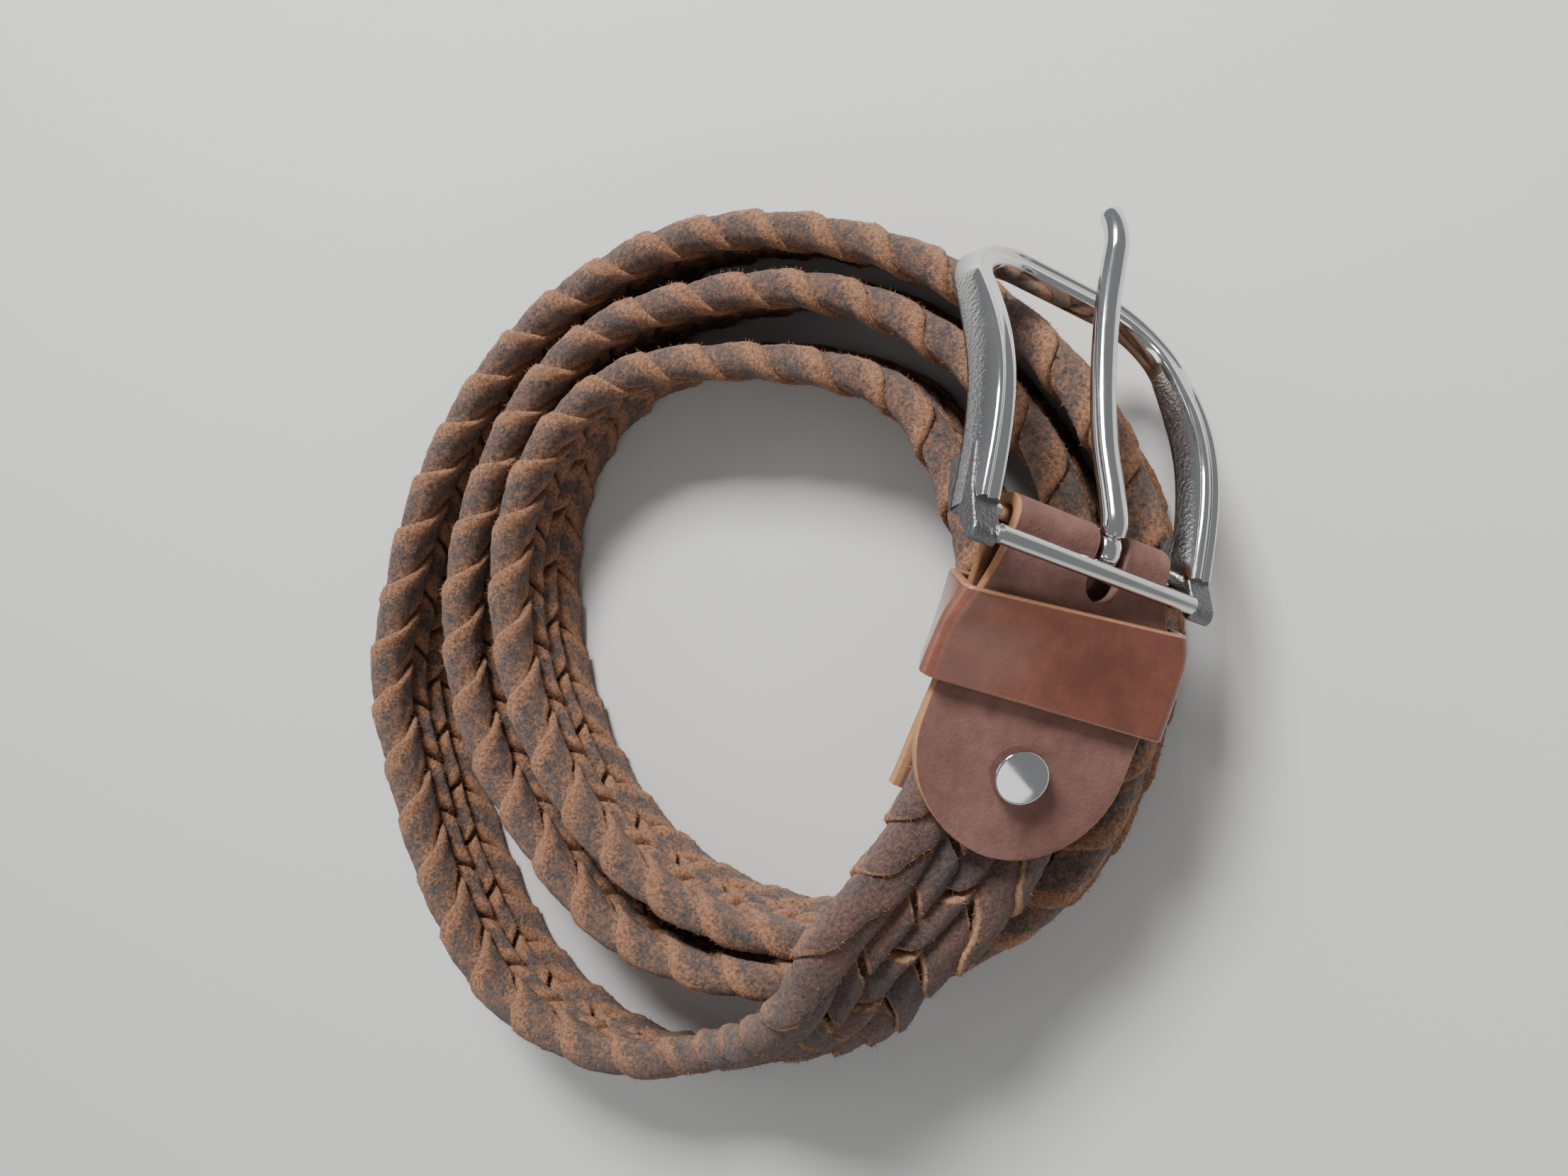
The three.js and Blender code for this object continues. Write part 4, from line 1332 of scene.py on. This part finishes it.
@dataclass
class Buckle:
    """The chrome buckle in its own plane: x forward, y along the pivot bar, z to the front."""

    route: StrapRoute
    finishes: Finishes
    width: float = 45 * MM
    length: float = 54.5 * MM
    corner: float = 13 * MM
    bar: float = 4.8 * MM
    depth: float = 7 * MM
    front_depth: float = 5 * MM
    arch: float = 4.8 * MM
    arch_start: float = -2 * MM
    arch_share: float = 0.83
    face: float = 4.7 * MM
    leg_end: float = -1.5 * MM
    droop: float = 37
    lug_radius: float = 2.8 * MM
    rod_radius: float = 1.5 * MM
    rod_proud: float = 0.05 * MM
    rod_back: float = 6.3 * MM
    rod_lift: float = 3.4 * MM
    rod_past: float = 0.6 * MM
    bar_radius: float = BAR_RADIUS
    clearance: float = 0.3 * MM
    # share of painted shade on the frame's outer side walls below the front face
    side_painted_shade: float = 0.65
    wall_from: float = 1.3 * MM
    line_step: float = 1.2 * MM
    lug_reach: float = 8 * MM
    lug_sink: float = 3 * MM
    lug_wall: float = 0.5 * MM
    # painted shade on the lugs, and the shares of the frame's length over which the painted shade on the
    # legs' inner walls fades out
    lug_painted_shade: float = 0.85
    painted_shade_from: float = 0.6
    painted_shade_to: float = 0.9
    end_chamfer: float = 0.4 * MM
    prong_radius: float = 1.9 * MM
    prong_proud: float = 0.25 * MM
    prong_ring: float = 2.3 * MM
    prong_ring_width: float = 4 * MM
    prong_ring_crown: float = 1.1 * MM
    prong_sides: int = 24
    prong_steps: int = 8
    ring_sides: int = 40
    prong_tip: float = 0.9
    taper_steps: int = 24
    round_steps: int = 3
    blunt: float = 0.3
    prong_root: float = 0.6
    prong_shift: float = PRONG_SHIFT
    prong_skew: float = 7

    def place(self) -> Matrix:
        """The buckle's matrix: its axes at the fold, turned down by the droop."""
        fold = self.route.tab_section(0)
        axes = Matrix((-fold.along, fold.across, fold.face)).transposed().to_4x4()
        axes.translation = fold.at
        return axes @ Matrix.Rotation(math.radians(self.droop), 4, "Y")

    def face_at(self, forward: float) -> float:
        """How far the frame's front face stands off the pivot bar: its legs are arched."""
        share = (forward - self.arch_start) / (self.arch_share * self.length)
        return self.face + self.arch * math.sin(math.pi * share)

    def middle_line(self) -> list[tuple[float, float, float]]:
        """The frame's middle line as (forward, sideways, angle), from leg end to leg end."""
        side = self.width / 2
        straight = self.length - self.corner
        line = [(forward, side, 0.0) for forward in even_steps(self.leg_end, straight, self.line_step)]
        for angle in arc(0, 90, 24)[1:]:
            line.append((straight + self.corner * math.sin(angle),
                         side - self.corner + self.corner * math.cos(angle), angle))
        across = even_steps(side - self.corner, 0, self.line_step)[1:]
        front = [(self.length, sideways, math.pi / 2) for sideways in across]
        half = line + front
        other = [(forward, -sideways, math.pi - angle) for forward, sideways, angle in reversed(half[:-1])]
        return half + other

    def plate(self, piece: bpy.types.Object, *replaced: str) -> None:
        """Dresses a piece of the frame's body in chrome."""
        dress(piece, self.finishes.chrome, Body.FRAME, Slot.CHROME, *replaced)

    def frame(self) -> None:
        """Builds the frame's loop, whose legs have two ridges with a groove between them."""
        half = self.bar / 2
        outline = [(corner.side * half + corner.away * MM, corner.down * MM - corner.back * self.depth)
                   for corner in FRAME_SECTION]
        place = self.place()
        rings, painted_shade = [], []
        for forward, sideways, angle in self.middle_line():
            share = 1 + (self.front_depth / self.depth - 1) * smooth(forward, self.length / 2,
                                                                     self.length - 2 * MM)
            rings.append([place @ Vector((forward + math.sin(angle) * away,
                                          sideways + math.cos(angle) * away,
                                          self.face_at(forward) + down * share))
                          for away, down in outline])
            # Painted shade: the legs' inner walls are darkened, fading out towards the front bar, and the
            # outer side walls below the front face are darkened too.
            inner_leg_shade = 1 - smooth(forward, self.length * self.painted_shade_from, self.length * self.painted_shade_to)
            for away, down in outline:
                if away <= -half and down < -self.wall_from:
                    painted_shade.append(inner_leg_shade)
                elif away > half and down < -self.wall_from:
                    painted_shade.append(self.side_painted_shade)
                else:
                    painted_shade.append(0.0)
        loop = loft("frame_loop", rings, crisp=62)
        mark(loop, "painted_shade", painted_shade)
        self.plate(loop, "buckle_frame")

    def lug(self, side: int) -> None:
        """Builds the lug that carries the pivot bar and the rod at the end of a leg.

        Args:
            side: 1 for the upper leg and -1 for the lower.
        """
        reach, wall = self.lug_reach, self.lug_wall
        outline = [(reach, -self.lug_radius + MM), (reach, self.face_at(reach) - self.lug_sink),
                   (wall, self.face - 1.2 * MM), (-self.rod_back, self.rod_lift + 0.6 * MM)]
        for angle in arc(90, 180, 8)[1:]:
            outline.append((-self.rod_back + (self.rod_radius + wall) * math.cos(angle),
                            self.rod_lift - self.rod_radius + (self.rod_radius + wall) * math.sin(angle)))
        for angle in arc(180, 270, 12)[1:]:
            outline.append((self.lug_radius * math.cos(angle), self.lug_radius * math.sin(angle)))
        place = self.place()
        rings = []
        for sideways in (-self.bar / 2, self.bar / 2):
            rings.append([place @ Vector((x, side * self.width / 2 + sideways, z)) for x, z in outline])
        lug = loft("lug_upper" if side > 0 else "lug_lower", rings, crisp=30)
        bevel(lug, wall)
        # The whole lug is darkened with painted shade.
        mark(lug, "painted_shade", [self.lug_painted_shade] * len(lug.data.vertices))
        self.plate(lug)

    def rod(self) -> None:
        """Builds the round rod behind the pivot bar, with its rounded ends."""
        end = (self.width - self.bar) / 2 + self.rod_past
        radius = self.rod_radius + self.rod_proud
        profile = [(0, -end), (radius * 0.7, -end + 0.15 * MM), (radius, -end + 0.7 * MM),
                   (radius, end - 0.7 * MM), (radius * 0.7, end - 0.15 * MM), (0, end)]
        place = self.place() @ Matrix.Translation((-self.rod_back, 0, self.rod_lift))
        self.plate(lathe("rod", profile, place))

    def pivot(self) -> None:
        """Builds the pivot bar with its peened ends."""
        end = (self.width + self.bar) / 2
        radius = self.bar_radius
        chamfer = self.end_chamfer
        profile = [(0, -end - 0.25 * MM), (radius * 0.8, -end), (radius, -end + chamfer),
                   (radius, end - chamfer), (radius * 0.8, end), (0, end + 0.25 * MM)]
        self.plate(lathe("pivot_pin", profile, self.place()), "pivot_bar")

    def prong(self) -> None:
        """Builds the prong: a ring round the pivot bar and a bent round shank."""
        place = self.place()
        inside = self.bar_radius + self.clearance
        half = self.prong_ring_width / 2
        outside = inside + self.prong_ring
        crown = self.prong_ring_crown
        profile = [(inside, -half), (outside - crown, -half)]
        for angle in arc(-90, 90, 8):
            profile.append((outside - crown + crown * math.cos(angle), half * math.sin(angle)))
        profile += [(inside, half)]
        middle = place @ Matrix.Translation((0, self.prong_shift, 0))
        ring = lathe("prong_ring", profile, middle, self.ring_sides)
        dress(ring, self.finishes.chrome, Body.PRONG, Slot.CHROME, "prong")
        slope = math.tan(math.radians(self.prong_skew))
        line = [Vector((forward * self.length, self.prong_shift + forward * self.length * slope,
                        off * self.depth)) for forward, off in PRONG_LINE]
        points = catmull_rom(line, self.prong_steps)
        rings = []
        count = len(points) - 1
        for index, point in enumerate(points):
            tangent = (points[min(index + 1, count)] - points[max(index - 1, 0)]).normalized()
            off = tangent.cross(Vector((0, 1, 0))).normalized()
            side = off.cross(tangent)
            left = count - index
            end = math.sqrt(max(1 - (1 - min(left / self.round_steps, 1)) ** 2, self.blunt))
            taper = min(1, mix(self.prong_tip, 1, left / self.taper_steps))
            root = self.prong_root if index == 0 else 1
            radius = (self.prong_radius + self.prong_proud) * taper * end * root
            rings.append([place @ (point + off * radius * math.sin(angle) + side * radius * math.cos(angle))
                          for angle in arc(0, 360, self.prong_sides)[:-1]])
        shank = loft("prong_shank", rings, crisp=50)
        dress(shank, self.finishes.chrome, Body.PRONG, Slot.CHROME)

    def build(self) -> None:
        """Builds every piece of the buckle."""
        self.frame()
        self.lug(1)
        self.lug(-1)
        self.rod()
        self.pivot()
        self.prong()


def catmull_rom(line: Sequence[Vector], steps: int) -> list[Vector]:
    """Points on a smooth curve through a line's points.

    Args:
        line: the points that it passes.
        steps: pieces between two of them.

    Returns:
        The curve's points.
    """
    ends = [line[0] * 2 - line[1], *line, line[-1] * 2 - line[-2]]
    points = []
    for index in range(1, len(ends) - 2):
        before, start, end, after = ends[index - 1:index + 3]
        for step in range(steps):
            t = step / steps
            points.append((start * 2 + (end - before) * t
                           + (before * 2 - start * 5 + end * 4 - after) * t ** 2
                           + (start * 3 - before - end * 3 + after) * t ** 3) / 2)
    points.append(line[-1])
    return points


@dataclass
class Studio:
    """The camera at the photograph's angle, a plain pale floor and soft light."""

    route: StrapRoute
    camera_place: Vector = field(default_factory=lambda: Vector((9 * MM, -111 * MM, 236 * MM)))
    elevation: float = 67
    roll: float = 7.4
    lens: float = 26.04
    sensor: float = 36
    floor: float = 4
    floor_colour: Colour = (0.62, 0.615, 0.6)
    sky_colour: Colour = (0.85, 0.87, 0.9)
    sky_strength: float = 0.3
    aim_height: float = 20 * MM

    def camera(self) -> None:
        """Makes the camera: it looks down and across, and the picture's top is the belt's +X side."""
        lens = bpy.data.cameras.new("camera")
        lens.lens = self.lens
        lens.sensor_width = self.sensor
        lens.sensor_fit = "HORIZONTAL"
        lens.clip_start = 5 * MM
        camera = bpy.data.objects.new("camera", lens)
        pitch = Matrix.Rotation(math.radians(90 - self.elevation), 4, "X")
        turned = pitch @ Matrix.Rotation(math.radians(self.roll - 90), 4, "Z")
        camera.matrix_world = Matrix.Translation(self.camera_place + self.route.shift) @ turned
        bpy.context.scene.collection.objects.link(camera)
        bpy.context.scene.camera = camera

    def ground(self) -> None:
        """Makes the floor that the belt lies on."""
        side = self.floor / 2
        corners = [(-side, -side, 0), (side, -side, 0), (side, side, 0), (-side, side, 0)]
        mesh = bpy.data.meshes.new("floor")
        mesh.from_pydata(corners, [], [(0, 1, 2, 3)])
        floor = bpy.data.objects.new("floor", mesh)
        bpy.context.scene.collection.objects.link(floor)
        tree = Shader("floor")
        tree.set(Base_Color=self.floor_colour, Roughness=0.75)
        mesh.materials.append(tree.material)

    def light(self, lamp: Lamp) -> None:
        """Makes a lamp that looks at the middle of the belt."""
        shade = bpy.data.lights.new(lamp.name, "AREA")
        shade.size = lamp.size
        shade.energy = lamp.power
        light = bpy.data.objects.new(lamp.name, shade)
        light.location = lamp.place
        aim = Vector((0, 0, self.aim_height)) - light.location
        light.rotation_euler = aim.to_track_quat("-Z", "Y").to_euler()
        bpy.context.scene.collection.objects.link(light)

    def build(self) -> None:
        """Makes the floor, the lights and a pale surround."""
        self.ground()
        for lamp in LAMPS:
            self.light(lamp)
        world = bpy.data.worlds.new("surround")
        world.use_nodes = True
        background = world.node_tree.nodes["Background"]
        background.inputs["Color"].default_value = (*self.sky_colour, 1)
        background.inputs["Strength"].default_value = self.sky_strength
        bpy.context.scene.world = world
        bpy.context.scene.view_settings.view_transform = "AgX"


def main() -> None:
    """Builds the belt and the studio round the frame."""
    logging.basicConfig(level=logging.INFO, format="%(name)s: %(message)s")
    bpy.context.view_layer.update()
    route = StrapRoute()
    studio = Studio(route)
    studio.camera()
    finishes = Finishes()
    parts: list[Callable[[], None]] = [
        Braid(route, finishes).build,
        LeatherTab(route, finishes).build,
        Buckle(route, finishes).build,
        studio.build,
    ]
    for build in parts:
        build()


if __name__ == "__main__":
    main()
